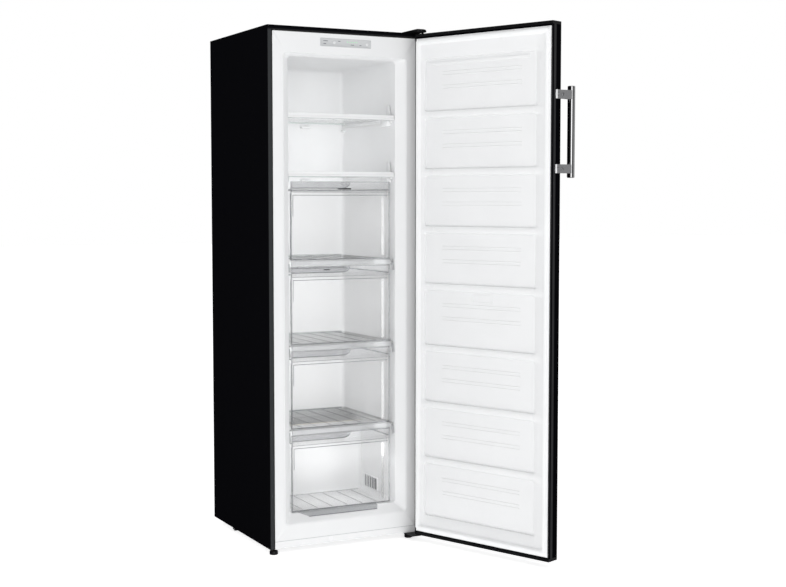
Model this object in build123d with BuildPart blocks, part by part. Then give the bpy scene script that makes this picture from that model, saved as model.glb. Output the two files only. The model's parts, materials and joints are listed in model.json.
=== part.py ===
from build123d import *
import os

# Upright freezer with one door, two open shelves and four drawers.
#
# Millimetres, +Z up. The pieces are drawn with the door shut, in cabinet axes: x = 0 in the middle
# of the width, y = 0 in the plane of the front flange with +y towards the back, z = 0 on the floor.
# The door's pieces are then swung open about the hinge pins, and the whole freezer is moved so that
# the origin lies under the middle of its box.

# Driving dimensions -------------------------------------------------------------------------
CABINET_WIDTH = 560.0
CABINET_DEPTH = 542.0
CABINET_HEIGHT = 1720.0
FOOT_HEIGHT = 21.0
SHEET = 0.8
PLASTIC = 2.0
DOOR_OPEN_ANGLE = 111.4

HALF_WIDTH = CABINET_WIDTH / 2
BOTTOM = FOOT_HEIGHT
TOP = FOOT_HEIGHT + CABINET_HEIGHT
SHELL_FLANGE = 14.0
EDGE_RADIUS = 2.8

# Liner: a white flange round the opening, a sloping throat, then straight walls
LINER_EDGE = HALF_WIDTH - 18.0
LINER_FRONT_Y = 1.0
PLINTH_HEIGHT = 24.0
PLINTH_BACK_Y = 14.0
FLANGE_BOTTOM = BOTTOM + PLINTH_HEIGHT
FLANGE_TOP = TOP - 18.0
STEP_HALF_WIDTH = 224.0
STEP_BOTTOM = BOTTOM + 80.0
STEP_TOP = TOP - 88.0
ROOM_HALF_WIDTH = 198.0
ROOM_FLOOR = BOTTOM + 107.0
ROOM_CEILING = STEP_TOP - 7.0
THROAT_Y = 28.0
ROOM_BACK_Y = 445.0
ROOM_CORNER = 12.0
HUMP_FRONT_Y = 300.0
HUMP_TOP = BOTTOM + 359.0

# Compressor bay under the hump
BAY_FRONT_Y = 345.0
BAY_CEILING = BOTTOM + 314.0
BACK_PANEL_Y = 539.0
BAY_FLOOR = 24.0
BAY_FLOOR_SHEET = 2.0

# Shelves and drawers, as heights of the shelf tops
SHELF_TOPS = [BOTTOM + 1434.0, BOTTOM + 1241.0, BOTTOM + 953.0, BOTTOM + 670.0, BOTTOM + 387.0]
OPEN_SHELVES = 2
GLASS = 4.0
SHELF_HALF_WIDTH = ROOM_HALF_WIDTH - 2.0
SHELF_FRONT_Y = 30.0
SHELF_TRIM_DEPTH = 10.0
SHELF_BACK_Y = ROOM_BACK_Y - 13.0
OPEN_TRIM_HEIGHT = 12.0
DRAWER_TRIM_HEIGHT = 17.0
UPSTAND_HALF_WIDTH = 186.0
UPSTAND_HEIGHT = 9.0
FIN_WIDTH = 6.0
FIN_PROFILE = [(0.0, 0.0), (25.0, 9.0), (35.0, 40.0), (50.0, 40.0), (50.0, 0.0)]
RIB_REACH = 9.0
RIB_HEIGHT = 12.0
DRAWER_HEIGHT = 264.0
DRAWER_HALF_WIDTH = 185.0
DRAWER_FRONT_Y = 42.0
DRAWER_BACK_Y = 430.0
LOWEST_DRAWER_BACK_Y = 292.0
DRAWER_WALL = 2.2
DRAWER_RIM = 4.0
GRIP_BAND = 42.0
FRONT_THICKNESS = 3.0
BIN_DROP = 26.0
GRIP_REACH = 7.0
DRAWER_FLOAT = 1.0
DRAWER_SPANS = [
    (SHELF_TOPS[2] + DRAWER_FLOAT, SHELF_TOPS[2] + DRAWER_FLOAT + DRAWER_HEIGHT, DRAWER_BACK_Y),
    (SHELF_TOPS[3] + DRAWER_FLOAT, SHELF_TOPS[3] + DRAWER_FLOAT + DRAWER_HEIGHT, DRAWER_BACK_Y),
    (SHELF_TOPS[4] + DRAWER_FLOAT, SHELF_TOPS[4] + DRAWER_FLOAT + DRAWER_HEIGHT, DRAWER_BACK_Y),
    (ROOM_FLOOR + DRAWER_FLOAT, SHELF_TOPS[4] - 18.0, LOWEST_DRAWER_BACK_Y),
]

GRILLE_LOW = ROOM_FLOOR + ROOM_CORNER + 1.0
GRILLE_HIGH = GRILLE_LOW + 46.0
GRILLE_FRONT_Y = 160.0
GRILLE_BACK_Y = 270.0
GRILLE_THICKNESS = 3.0
GRILLE_SLOTS = 7
GRILLE_SLOT_WIDTH = 7.0
GRILLE_SLOT_PITCH = 14.5

# Door, drawn shut in front of the flange
DOOR_GAP = 10.0
DOOR_THICKNESS = 48.0
DOOR_BACK_Y = -DOOR_GAP
DOOR_FRONT_Y = -DOOR_GAP - DOOR_THICKNESS
DOOR_BOTTOM = BOTTOM + 2.0
DOOR_TOP = TOP - 8.0
DOOR_CAP = 10.0
SKIN_RETURN_Y = DOOR_FRONT_Y + 28.0
SIDE_TRIM = 5.0
GASKET_FRONT_Y = -0.6
GASKET_WIDTH = 20.0
POCKET_HEIGHTS = [176.0, 173.0, 173.0, 173.0, 190.0, 173.0, 173.0, 183.0]
POCKET_GAP = 19.5
POCKET_TOP = BOTTOM + 1627.0
POCKET_LEFT = -230.0
POCKET_RIGHT = 242.0
POCKET_DEPTH = 12.0
POCKET_DRAFT = 30.0
LINER_BOSS = (-92.0, -76.0)
LINER_BOSS_LOW = BOTTOM + 1662.0
LINER_BOSS_HEIGHT = 1.0

# Hinge
PIN_X = HALF_WIDTH - 10.0
PIN_Y = DOOR_BACK_Y - 25.0
PIN_RADIUS = 4.0
RUNNING_FIT = 0.06
BUSH_RADIUS = 7.0
BUSH_LENGTH = 20.0
HINGE_PLATE = 3.0
TOP_HINGE_LEFT = 244.0
BOTTOM_HINGE_LEFT = 222.0
HINGE_RIGHT = 279.0
HINGE_NOSE_Y = PIN_Y - 11.0
TOP_HINGE_TAIL_Y = 70.0
BOTTOM_HINGE_TAIL_Y = 60.0
TOP_SCREWS = [(252.0, 30.0), (270.0, 30.0), (261.0, 56.0)]
BOTTOM_SCREWS = [(232.0, 48.0), (266.0, 48.0)]
SCREW_RADIUS = 3.0
SCREW_HEAD_RADIUS = 5.0
SCREW_HEAD = 4.0
SCREW_LENGTH = 16.0
SLIP = 0.3
COVER_HEIGHT = 10.0
COVER_MARGIN = 4.0
COVER_WALL = 2.0

# Handle on the free edge of the door
HANDLE_RADIUS = 12.0
HANDLE_X = -HALF_WIDTH - 11.5
HANDLE_Y = DOOR_FRONT_Y - 40.0
HANDLE_LOW = BOTTOM + 1225.0
HANDLE_HIGH = BOTTOM + 1514.0
HANDLE_WALL = 1.5
VENT_RADIUS = 2.0
BRACKET_HEIGHT = 28.0
BRACKET_INSET = 14.0
BRACKET_FOOT = 4.0
BRACKET_TAIL = 30.0
HANDLE_SCREW_SET = 20.0
HANDLE_SCREW_RADIUS = 2.0
HANDLE_SCREW_HEAD = 4.0

# Controls on the top flange
PANEL_HALF_WIDTH = 93.0
PANEL_LOW = BOTTOM + 1659.5
PANEL_HEIGHT = 27.5
PANEL_FRONT_Y = -0.4
BUTTON_XS = {"temperature_button": 78.0, "fast_freeze_button": -42.0}
BUTTON_RADIUS = 4.5
BUTTON_FRONT_Y = -2.2
BUTTON_BACK_Y = 6.0
BUTTON_TRAVEL = 1.2
BOARD_HALF_WIDTH = 82.0
BOARD_FRONT_Y = 15.0
SWITCH_FRONT_Y = 9.0
SWITCH_HALF = 3.0

# Feet and rollers
FOOT_SPOTS = {"front_left_foot": (-260.0, 20.0), "front_right_foot": (246.0, 20.0)}
FOOT_RADIUS = 14.0
FOOT_PAD = 13.0
STEM_RADIUS = 4.0
STEM_TOP = 46.0
ROLLER_SPOTS = {"rear_left_roller": -252.0, "rear_right_roller": 252.0}
ROLLER_Y = 385.0
ROLLER_RADIUS = 10.5
ROLLER_WIDTH = 18.0
AXLE_RADIUS = 3.0
EAR_OFFSET = 12.0
EAR_HALF_DEPTH = 7.0
EAR_LOW = 5.0

# Cooling circuit
COMPRESSOR_X = 90.0
COMPRESSOR_Y = 445.0
COMPRESSOR_RADIUS = 70.0
COMPRESSOR_LOW = BAY_FLOOR + BAY_FLOOR_SHEET + 15.0
COMPRESSOR_HIGH = COMPRESSOR_LOW + 160.0
COMPRESSOR_DOME = 35.0
COMPRESSOR_FOOT_X = 98.0
COMPRESSOR_FOOT_Y = 57.0
GROMMET_X = 85.0
GROMMET_Y = 45.0
GROMMET_RADIUS = 9.0
GROMMET_HEIGHT = 12.0
PLATE_LIP = 16.0
STARTER_REACH = 112.0
STARTER_LOW = 80.0
STARTER_HIGH = 135.0
EVAPORATOR_TUBE = 4.0
EVAPORATOR_HALF_WIDTH = 140.0
EVAPORATOR_SPAN = (710.0, 1550.0)
EVAPORATOR_RUNS = 13
CONDENSER_TUBE = 2.5
CONDENSER_HALF_WIDTH = 210.0
CONDENSER_SPAN = (430.0, 1630.0)
CONDENSER_RUNS = 15
RECESS_MARGIN = 18.0
RECESS_DEPTH = 12.0
PIPE_RADIUS = 3.0
DRIER_X = -110.0
DRIER_Y = 500.0
DRIER_SPAN = (150.0, 270.0)
DRIER_RADIUS = 10.0
DRIER_NECK = 4.0

# Back of the cabinet
BACK_COLUMNS = (-180.0, -60.0, 60.0, 180.0)
BACK_RIB_HALF_WIDTH = 12.0
BACK_RIB_OUT = 2.5
BACK_RIB_SPAN = (420.0, 1650.0)
COVER_PLATE_Y = 537.0
COVER_PLATE = 1.5
COVER_PLATE_HALF_WIDTH = 276.0
LOUVRE_HALF_WIDTH = 45.0
LOUVRE_ROWS = 8
LOUVRE_LOW = 120.0
LOUVRE_PITCH = 24.0
LOUVRE_HEIGHT = 8.0
INLET_X = -222.5
INLET_HALF_WIDTH = 19.0
INLET_LOW = 58.5
INLET_HIGH = 87.5
INLET_FRONT_Y = 515.0
INLET_BACK_Y = 541.0
PRONG_PITCH = 6.5

pieces = {}
pin_axis = Pos(PIN_X, PIN_Y, 0)
door_swing = pin_axis * Rot(0, 0, DOOR_OPEN_ANGLE) * Pos(-PIN_X, -PIN_Y, 0)


def keep(builder, name, on_door=False):
    """File a finished piece under its name, swung open if it belongs to the door."""
    pieces[name] = door_swing * builder.part if on_door else builder.part


def front_plane(y):
    """An upright plane facing the front, at depth y: its x is X and its y is Z."""
    return Plane.XZ.offset(-y)


def block(x0, x1, y0, y1, z0, z1, mode=Mode.ADD):
    """A plain block between two corners, in the builder that is open."""
    with BuildSketch(Plane.XY.offset(z0)) as footprint:
        with Locations(((x0 + x1) / 2, (y0 + y1) / 2)):
            Rectangle(x1 - x0, y1 - y0)
    extrude(footprint.sketch, amount=z1 - z0, mode=mode)


def post(x, y, radius, z0, z1, mode=Mode.ADD):
    """An upright cylinder in the builder that is open."""
    with BuildSketch(Plane.XY.offset(z0)) as footprint:
        with Locations((x, y)):
            Circle(radius)
    extrude(footprint.sketch, amount=z1 - z0, mode=mode)


def front_hole(x, z, radius, y0, y1):
    """A round hole that runs front to back, in the builder that is open."""
    with BuildSketch(front_plane(y0)) as outline:
        with Locations((x, z)):
            Circle(radius)
    extrude(outline.sketch, amount=-(y1 - y0), mode=Mode.SUBTRACT)


def rounded_front(x0, x1, z0, z1, radius):
    """A rounded rectangle in the upright sketch that is open."""
    with Locations(((x0 + x1) / 2, (z0 + z1) / 2)):
        RectangleRounded(x1 - x0, z1 - z0, radius)


# Cabinet ------------------------------------------------------------------------------------
with BuildPart() as cabinet_shell:
    for inset, corner, mode in ((0, EDGE_RADIUS, Mode.ADD), (SHEET, EDGE_RADIUS - SHEET, Mode.SUBTRACT)):
        with BuildSketch(Plane.XY.offset(BOTTOM)) as outline:
            with Locations((0, inset + CABINET_DEPTH / 2)):
                Rectangle(CABINET_WIDTH - 2 * inset, CABINET_DEPTH)
            fillet(outline.vertices().group_by(Axis.Y)[0], corner)
        extrude(amount=CABINET_HEIGHT - inset, mode=mode)
    block(
        -HALF_WIDTH + SHELL_FLANGE,
        HALF_WIDTH - SHELL_FLANGE,
        -1,
        2 * SHEET,
        BOTTOM,
        TOP - SHELL_FLANGE,
        Mode.SUBTRACT,
    )
    for screw_x, screw_y in TOP_SCREWS:
        post(screw_x, screw_y, SCREW_RADIUS + SLIP, TOP - 5, TOP + 5, Mode.SUBTRACT)
keep(cabinet_shell, "cabinet_shell")


def room_block(grow):
    """The cold room as a solid: throat, straight room and the step over the compressor."""
    with BuildPart() as room:
        for y, half, low, high in (
            (LINER_FRONT_Y, STEP_HALF_WIDTH, STEP_BOTTOM, STEP_TOP),
            (THROAT_Y, ROOM_HALF_WIDTH, ROOM_FLOOR, ROOM_CEILING),
        ):
            with BuildSketch(front_plane(y)):
                rounded_front(-half - grow, half + grow, low - grow, high + grow, ROOM_CORNER + grow)
        loft()
        with BuildSketch(front_plane(THROAT_Y)):
            half = ROOM_HALF_WIDTH + grow
            rounded_front(-half, half, ROOM_FLOOR - grow, ROOM_CEILING + grow, ROOM_CORNER + grow)
        extrude(amount=-(ROOM_BACK_Y + grow - THROAT_Y))
        block(
            -HALF_WIDTH,
            HALF_WIDTH,
            HUMP_FRONT_Y + grow,
            CABINET_DEPTH,
            BOTTOM,
            HUMP_TOP - grow,
            Mode.SUBTRACT,
        )
    return room.part


room_inside = room_block(0)
room_outside = room_block(PLASTIC)

with BuildPart() as inner_liner:
    block(
        -LINER_EDGE, LINER_EDGE, LINER_FRONT_Y, LINER_FRONT_Y + PLASTIC, FLANGE_BOTTOM, FLANGE_TOP
    )
    add(room_outside)
    add(room_inside, mode=Mode.SUBTRACT)
    for shelf_top in SHELF_TOPS:
        for side in (-1, 1):
            wall = side * ROOM_HALF_WIDTH
            inner = side * (ROOM_HALF_WIDTH - RIB_REACH)
            block(
                min(wall, inner),
                max(wall, inner),
                SHELF_FRONT_Y + SHELF_TRIM_DEPTH + 4,
                SHELF_BACK_Y,
                shelf_top - GLASS - RIB_HEIGHT,
                shelf_top - GLASS,
            )
    for button_x in BUTTON_XS.values():
        front_hole(button_x, PANEL_LOW + PANEL_HEIGHT / 2, BUTTON_RADIUS + SLIP, -1, 5)
keep(inner_liner, "inner_liner")

with BuildPart() as cabinet_foam:
    inside = HALF_WIDTH - SHEET
    block(-inside, inside, LINER_FRONT_Y + PLASTIC, BACK_PANEL_Y, BOTTOM + 1, TOP - SHEET)
    add(room_outside, mode=Mode.SUBTRACT)
    block(
        -HALF_WIDTH, HALF_WIDTH, BAY_FRONT_Y - 1, CABINET_DEPTH, BOTTOM, BAY_CEILING, Mode.SUBTRACT
    )
    for half, tube_span, y0, y1 in (
        (
            EVAPORATOR_HALF_WIDTH,
            EVAPORATOR_SPAN,
            ROOM_BACK_Y + PLASTIC,
            ROOM_BACK_Y + PLASTIC + RECESS_DEPTH,
        ),
        (CONDENSER_HALF_WIDTH, CONDENSER_SPAN, BACK_PANEL_Y - RECESS_DEPTH, BACK_PANEL_Y),
    ):
        edge = half + RECESS_MARGIN
        low, high = tube_span[0] - RECESS_MARGIN, tube_span[1] + RECESS_MARGIN
        block(-edge, edge, y0, y1, low, high, Mode.SUBTRACT)
    block(
        -PANEL_HALF_WIDTH,
        PANEL_HALF_WIDTH,
        0,
        20,
        PANEL_LOW + 1,
        PANEL_LOW + PANEL_HEIGHT - 1,
        Mode.SUBTRACT,
    )
    block(
        -LINER_EDGE, LINER_EDGE, 0, PLINTH_BACK_Y + 2, BOTTOM, FLANGE_BOTTOM, Mode.SUBTRACT
    )
    for foot_x, foot_y in FOOT_SPOTS.values():
        post(foot_x, foot_y, STEM_RADIUS + 2, BOTTOM, STEM_TOP + 2, Mode.SUBTRACT)
    for screw_x, screw_y in TOP_SCREWS:
        post(screw_x, screw_y, SCREW_RADIUS + SLIP, TOP - 30, TOP, Mode.SUBTRACT)
    for screw_x, screw_y in BOTTOM_SCREWS:
        post(screw_x, screw_y, SCREW_RADIUS + SLIP, BOTTOM, BOTTOM + 30, Mode.SUBTRACT)
keep(cabinet_foam, "cabinet_foam")

with BuildPart() as base_frame:
    inside = HALF_WIDTH - SHEET
    block(-inside, inside, 16, BAY_FRONT_Y, BOTTOM, BOTTOM + 1)
    block(-inside, inside, BAY_FRONT_Y - 1, BAY_FRONT_Y, BOTTOM, BAY_CEILING)
    block(-inside, inside, BAY_FRONT_Y - 1, BACK_PANEL_Y, BAY_CEILING - 1, BAY_CEILING)
    for foot_x, foot_y in FOOT_SPOTS.values():
        post(foot_x, foot_y, STEM_RADIUS + SLIP, BOTTOM - 1, BOTTOM + 3, Mode.SUBTRACT)
    for screw_x, screw_y in BOTTOM_SCREWS:
        post(screw_x, screw_y, SCREW_RADIUS + SLIP, BOTTOM - 1, BOTTOM + 3, Mode.SUBTRACT)
keep(base_frame, "base_frame")

with BuildPart() as back_panel:
    inside = HALF_WIDTH - SHEET
    block(-inside, inside, BACK_PANEL_Y, BACK_PANEL_Y + SHEET, BAY_CEILING - 1, TOP - SHEET)
    for rib_x in BACK_COLUMNS:
        block(
            rib_x - BACK_RIB_HALF_WIDTH,
            rib_x + BACK_RIB_HALF_WIDTH,
            BACK_PANEL_Y,
            BACK_PANEL_Y + BACK_RIB_OUT,
            *BACK_RIB_SPAN,
        )
keep(back_panel, "back_panel")

with BuildPart() as plinth:
    block(-LINER_EDGE, LINER_EDGE, LINER_FRONT_Y, PLINTH_BACK_Y, BOTTOM + 1, FLANGE_BOTTOM)
    block(
        -LINER_EDGE + PLASTIC,
        LINER_EDGE - PLASTIC,
        LINER_FRONT_Y + PLASTIC,
        PLINTH_BACK_Y + 1,
        BOTTOM + 1 + PLASTIC,
        FLANGE_BOTTOM - PLASTIC,
        Mode.SUBTRACT,
    )
    for foot_x, foot_y in FOOT_SPOTS.values():
        post(foot_x, foot_y, 10, BOTTOM, STEM_TOP, Mode.SUBTRACT)
keep(plinth, "plinth")

# Controls -----------------------------------------------------------------------------------
panel_middle = PANEL_LOW + PANEL_HEIGHT / 2
with BuildPart() as control_panel:
    with BuildSketch(front_plane(PANEL_FRONT_Y)):
        rounded_front(-PANEL_HALF_WIDTH, PANEL_HALF_WIDTH, PANEL_LOW, PANEL_LOW + PANEL_HEIGHT, 3)
    extrude(amount=-(LINER_FRONT_Y - PANEL_FRONT_Y))
    for button_x in BUTTON_XS.values():
        front_hole(button_x, panel_middle, BUTTON_RADIUS + SLIP, -3, 3)
keep(control_panel, "control_panel")

with BuildPart() as control_board:
    block(
        -BOARD_HALF_WIDTH,
        BOARD_HALF_WIDTH,
        BOARD_FRONT_Y,
        BOARD_FRONT_Y + 1.6,
        PANEL_LOW + 4,
        PANEL_LOW + PANEL_HEIGHT - 4,
    )
    for button_x in BUTTON_XS.values():
        block(
            button_x - SWITCH_HALF,
            button_x + SWITCH_HALF,
            SWITCH_FRONT_Y,
            BOARD_FRONT_Y,
            panel_middle - SWITCH_HALF,
            panel_middle + SWITCH_HALF,
        )
keep(control_board, "control_board")

for button_name, button_x in BUTTON_XS.items():
    with BuildPart() as button:
        with BuildSketch(front_plane(BUTTON_FRONT_Y)):
            with Locations((button_x, panel_middle)):
                Circle(BUTTON_RADIUS)
        extrude(amount=-(BUTTON_BACK_Y - BUTTON_FRONT_Y))
        chamfer(button.faces().sort_by(Axis.Y)[0].edges(), 0.5)
    keep(button, button_name)

# Shelves ------------------------------------------------------------------------------------
for number, shelf_top in enumerate(SHELF_TOPS, start=1):
    with BuildPart() as glass_shelf:
        block(
            -SHELF_HALF_WIDTH,
            SHELF_HALF_WIDTH,
            SHELF_FRONT_Y + SHELF_TRIM_DEPTH,
            SHELF_BACK_Y,
            shelf_top - GLASS,
            shelf_top,
        )
    keep(glass_shelf, f"glass_shelf_{number}")

    is_open_shelf = number <= OPEN_SHELVES
    with BuildPart() as shelf_trim:
        trim_low = shelf_top - (OPEN_TRIM_HEIGHT if is_open_shelf else DRAWER_TRIM_HEIGHT)
        trim_half = SHELF_HALF_WIDTH if is_open_shelf else DRAWER_HALF_WIDTH
        block(
            -trim_half,
            trim_half,
            SHELF_FRONT_Y,
            SHELF_FRONT_Y + SHELF_TRIM_DEPTH,
            trim_low,
            shelf_top,
        )
        if is_open_shelf:
            block(
                -UPSTAND_HALF_WIDTH,
                UPSTAND_HALF_WIDTH,
                SHELF_FRONT_Y + 2,
                SHELF_FRONT_Y + 4,
                shelf_top,
                shelf_top + UPSTAND_HEIGHT,
            )
            for fin_x in (-SHELF_HALF_WIDTH, SHELF_HALF_WIDTH - FIN_WIDTH):
                with BuildSketch(Plane.YZ.offset(fin_x)):
                    with BuildLine(Plane(origin=(SHELF_FRONT_Y, shelf_top, 0))):
                        Polyline(*FIN_PROFILE, close=True)
                    make_face()
                extrude(amount=FIN_WIDTH)
    keep(shelf_trim, f"shelf_trim_{number}")

# Drawers ------------------------------------------------------------------------------------
for number, (low, high, back_y) in enumerate(DRAWER_SPANS, start=1):
    front_back_y = DRAWER_FRONT_Y + FRONT_THICKNESS
    bin_high = high - BIN_DROP
    with BuildPart() as drawer_bin:
        body = DRAWER_HALF_WIDTH - DRAWER_RIM
        block(-body, body, front_back_y, back_y - DRAWER_RIM, low, bin_high)
        block(
            -DRAWER_HALF_WIDTH,
            DRAWER_HALF_WIDTH,
            front_back_y,
            back_y,
            bin_high - DRAWER_WALL,
            bin_high,
        )
        block(
            -body + DRAWER_WALL,
            body - DRAWER_WALL,
            front_back_y + DRAWER_WALL,
            back_y - DRAWER_RIM - DRAWER_WALL,
            low + DRAWER_WALL,
            high,
            Mode.SUBTRACT,
        )
    keep(drawer_bin, f"drawer_bin_{number}")

    with BuildPart() as drawer_front:
        with BuildSketch(Plane.YZ.offset(-DRAWER_HALF_WIDTH)):
            with BuildLine():
                Polyline(
                    (front_back_y, low),
                    (DRAWER_FRONT_Y, low),
                    (DRAWER_FRONT_Y, high - GRIP_BAND),
                    (DRAWER_FRONT_Y - GRIP_REACH, high - GRIP_BAND + 5),
                    (DRAWER_FRONT_Y - GRIP_REACH, high - GRIP_BAND + 13),
                )
                ThreePointArc(
                    (DRAWER_FRONT_Y - GRIP_REACH, high - GRIP_BAND + 13),
                    (DRAWER_FRONT_Y - 2, high - 15),
                    (DRAWER_FRONT_Y - 6, high - 3),
                )
                Polyline(
                    (DRAWER_FRONT_Y - 6, high - 3),
                    (DRAWER_FRONT_Y - 4, high),
                    (front_back_y, high),
                    (front_back_y, low),
                )
            make_face()
        extrude(amount=2 * DRAWER_HALF_WIDTH)
    keep(drawer_front, f"drawer_front_{number}")

with BuildPart() as vent_grille:
    block(
        ROOM_HALF_WIDTH - GRILLE_THICKNESS,
        ROOM_HALF_WIDTH,
        GRILLE_FRONT_Y,
        GRILLE_BACK_Y,
        GRILLE_LOW,
        GRILLE_HIGH,
    )
    for slot in range(GRILLE_SLOTS):
        slot_y = GRILLE_FRONT_Y + GRILLE_SLOT_WIDTH + slot * GRILLE_SLOT_PITCH
        block(
            ROOM_HALF_WIDTH - 4,
            ROOM_HALF_WIDTH - 1,
            slot_y,
            slot_y + GRILLE_SLOT_WIDTH,
            GRILLE_LOW + 4,
            GRILLE_HIGH - 4,
            Mode.SUBTRACT,
        )
keep(vent_grille, "vent_grille")


# Cooling circuit ----------------------------------------------------------------------------
def serpentine(y, half_width, tube_span, runs, radius):
    """A tube that runs to and fro across the back, in one plane."""
    low, high = tube_span
    pitch = (high - low) / (runs - 1)
    points = []
    for run in range(runs):
        side = -1 if run % 2 == 0 else 1
        points.append((side * half_width, low + run * pitch))
        points.append((-side * half_width, low + run * pitch))
    with BuildPart() as tube:
        with BuildLine(front_plane(y)):
            FilletPolyline(*points, radius=0.45 * pitch)
        with BuildSketch(Plane(origin=(-half_width, y, low), z_dir=(1, 0, 0))):
            Circle(radius)
        sweep()
    return tube


evaporator = serpentine(
    ROOM_BACK_Y + PLASTIC + 5, EVAPORATOR_HALF_WIDTH, EVAPORATOR_SPAN, EVAPORATOR_RUNS, EVAPORATOR_TUBE
)
keep(evaporator, "evaporator")
condenser = serpentine(
    BACK_PANEL_Y - 5, CONDENSER_HALF_WIDTH, CONDENSER_SPAN, CONDENSER_RUNS, CONDENSER_TUBE
)
keep(condenser, "condenser")

with BuildPart() as compressor_plate:
    inside = HALF_WIDTH - SHEET
    plate_back_y = COVER_PLATE_Y - 1
    block(-inside, inside, BAY_FRONT_Y + 2, plate_back_y, BAY_FLOOR, BAY_FLOOR + BAY_FLOOR_SHEET)
    block(-inside, inside, plate_back_y - 2, plate_back_y, BAY_FLOOR, BAY_FLOOR + PLATE_LIP)
keep(compressor_plate, "compressor_plate")

grommet_low = BAY_FLOOR + BAY_FLOOR_SHEET
with BuildPart() as compressor_grommets:
    for side_x in (-1, 1):
        for side_y in (-1, 1):
            post(
                COMPRESSOR_X + side_x * GROMMET_X,
                COMPRESSOR_Y + side_y * GROMMET_Y,
                GROMMET_RADIUS,
                grommet_low,
                grommet_low + GROMMET_HEIGHT,
            )
keep(compressor_grommets, "compressor_grommets")

with BuildPart() as compressor:
    post(COMPRESSOR_X, COMPRESSOR_Y, COMPRESSOR_RADIUS, COMPRESSOR_LOW, COMPRESSOR_HIGH)
    fillet(compressor.edges().filter_by(GeomType.CIRCLE), COMPRESSOR_DOME)
    block(
        COMPRESSOR_X - COMPRESSOR_FOOT_X,
        COMPRESSOR_X + COMPRESSOR_FOOT_X,
        COMPRESSOR_Y - COMPRESSOR_FOOT_Y,
        COMPRESSOR_Y + COMPRESSOR_FOOT_Y,
        grommet_low + GROMMET_HEIGHT,
        COMPRESSOR_LOW + 1,
    )
keep(compressor, "compressor")

with BuildPart() as starter_box:
    block(
        COMPRESSOR_X - STARTER_REACH,
        COMPRESSOR_X - COMPRESSOR_RADIUS + 10,
        COMPRESSOR_Y - 28,
        COMPRESSOR_Y + 28,
        STARTER_LOW,
        STARTER_HIGH,
    )
    add(compressor.part, mode=Mode.SUBTRACT)
keep(starter_box, "starter_box")

with BuildPart() as filter_drier:
    drier_low, drier_high = DRIER_SPAN
    with BuildSketch(front_plane(DRIER_Y)):
        with BuildLine():
            Polyline(
                (DRIER_X, drier_low),
                (DRIER_X + DRIER_NECK, drier_low),
                (DRIER_X + DRIER_NECK, drier_low + 8),
                (DRIER_X + DRIER_RADIUS, drier_low + 16),
                (DRIER_X + DRIER_RADIUS, drier_high - 20),
                (DRIER_X + PIPE_RADIUS, drier_high - 8),
                (DRIER_X + PIPE_RADIUS, drier_high),
                (DRIER_X, drier_high),
                close=True,
            )
        make_face()
    revolve(axis=Axis((DRIER_X, DRIER_Y, 0), (0, 0, 1)))
keep(filter_drier, "filter_drier")

with BuildPart() as discharge_pipe:
    with BuildLine():
        FilletPolyline(
            (COMPRESSOR_X - COMPRESSOR_RADIUS + 8, DRIER_Y - 20, 100),
            (-20, DRIER_Y, 100),
            (DRIER_X, DRIER_Y, 110),
            (DRIER_X, DRIER_Y, DRIER_SPAN[0]),
            radius=14,
        )
    with BuildSketch(Plane(origin=(DRIER_X, DRIER_Y, DRIER_SPAN[0]), z_dir=(0, 0, -1))):
        Circle(PIPE_RADIUS)
    sweep()
    add(compressor.part, mode=Mode.SUBTRACT)
keep(discharge_pipe, "discharge_pipe")

with BuildPart() as bay_cover:
    half = COVER_PLATE_HALF_WIDTH
    cut_y0, cut_y1 = COVER_PLATE_Y - 5, COVER_PLATE_Y + 5
    block(-half, half, COVER_PLATE_Y, COVER_PLATE_Y + COVER_PLATE, PLATE_LIP + 26, BAY_CEILING - 2)
    for column_x in BACK_COLUMNS:
        for row in range(LOUVRE_ROWS):
            slot_z = LOUVRE_LOW + row * LOUVRE_PITCH
            block(
                column_x - LOUVRE_HALF_WIDTH,
                column_x + LOUVRE_HALF_WIDTH,
                cut_y0,
                cut_y1,
                slot_z,
                slot_z + LOUVRE_HEIGHT,
                Mode.SUBTRACT,
            )
    block(
        INLET_X - INLET_HALF_WIDTH - 0.5,
        INLET_X + INLET_HALF_WIDTH + 0.5,
        cut_y0,
        cut_y1,
        INLET_LOW - 0.5,
        INLET_HIGH + 0.5,
        Mode.SUBTRACT,
    )
keep(bay_cover, "bay_cover")

with BuildPart() as mains_inlet:
    half = INLET_HALF_WIDTH
    socket = half - 5.5
    block(INLET_X - half, INLET_X + half, INLET_FRONT_Y, INLET_BACK_Y, INLET_LOW, INLET_HIGH)
    block(
        INLET_X - socket,
        INLET_X + socket,
        INLET_FRONT_Y + 6,
        INLET_BACK_Y + 4,
        INLET_LOW + 5.5,
        INLET_HIGH - 5.5,
        Mode.SUBTRACT,
    )
    for prong in (-1, 0, 1):
        prong_x = INLET_X + prong * PRONG_PITCH
        block(
            prong_x - 1.2,
            prong_x + 1.2,
            INLET_FRONT_Y + 5,
            INLET_BACK_Y - 5,
            INLET_LOW + 11.5,
            INLET_HIGH - 11.5,
        )
keep(mains_inlet, "mains_inlet")

# Feet and rollers ---------------------------------------------------------------------------
for foot_name, (foot_x, foot_y) in FOOT_SPOTS.items():
    with BuildPart() as foot:
        post(foot_x, foot_y, FOOT_RADIUS, 0, FOOT_PAD)
        chamfer(foot.faces().sort_by(Axis.Z)[0].edges(), 2)
        post(foot_x, foot_y, STEM_RADIUS, FOOT_PAD, STEM_TOP)
    keep(foot, foot_name)

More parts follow.
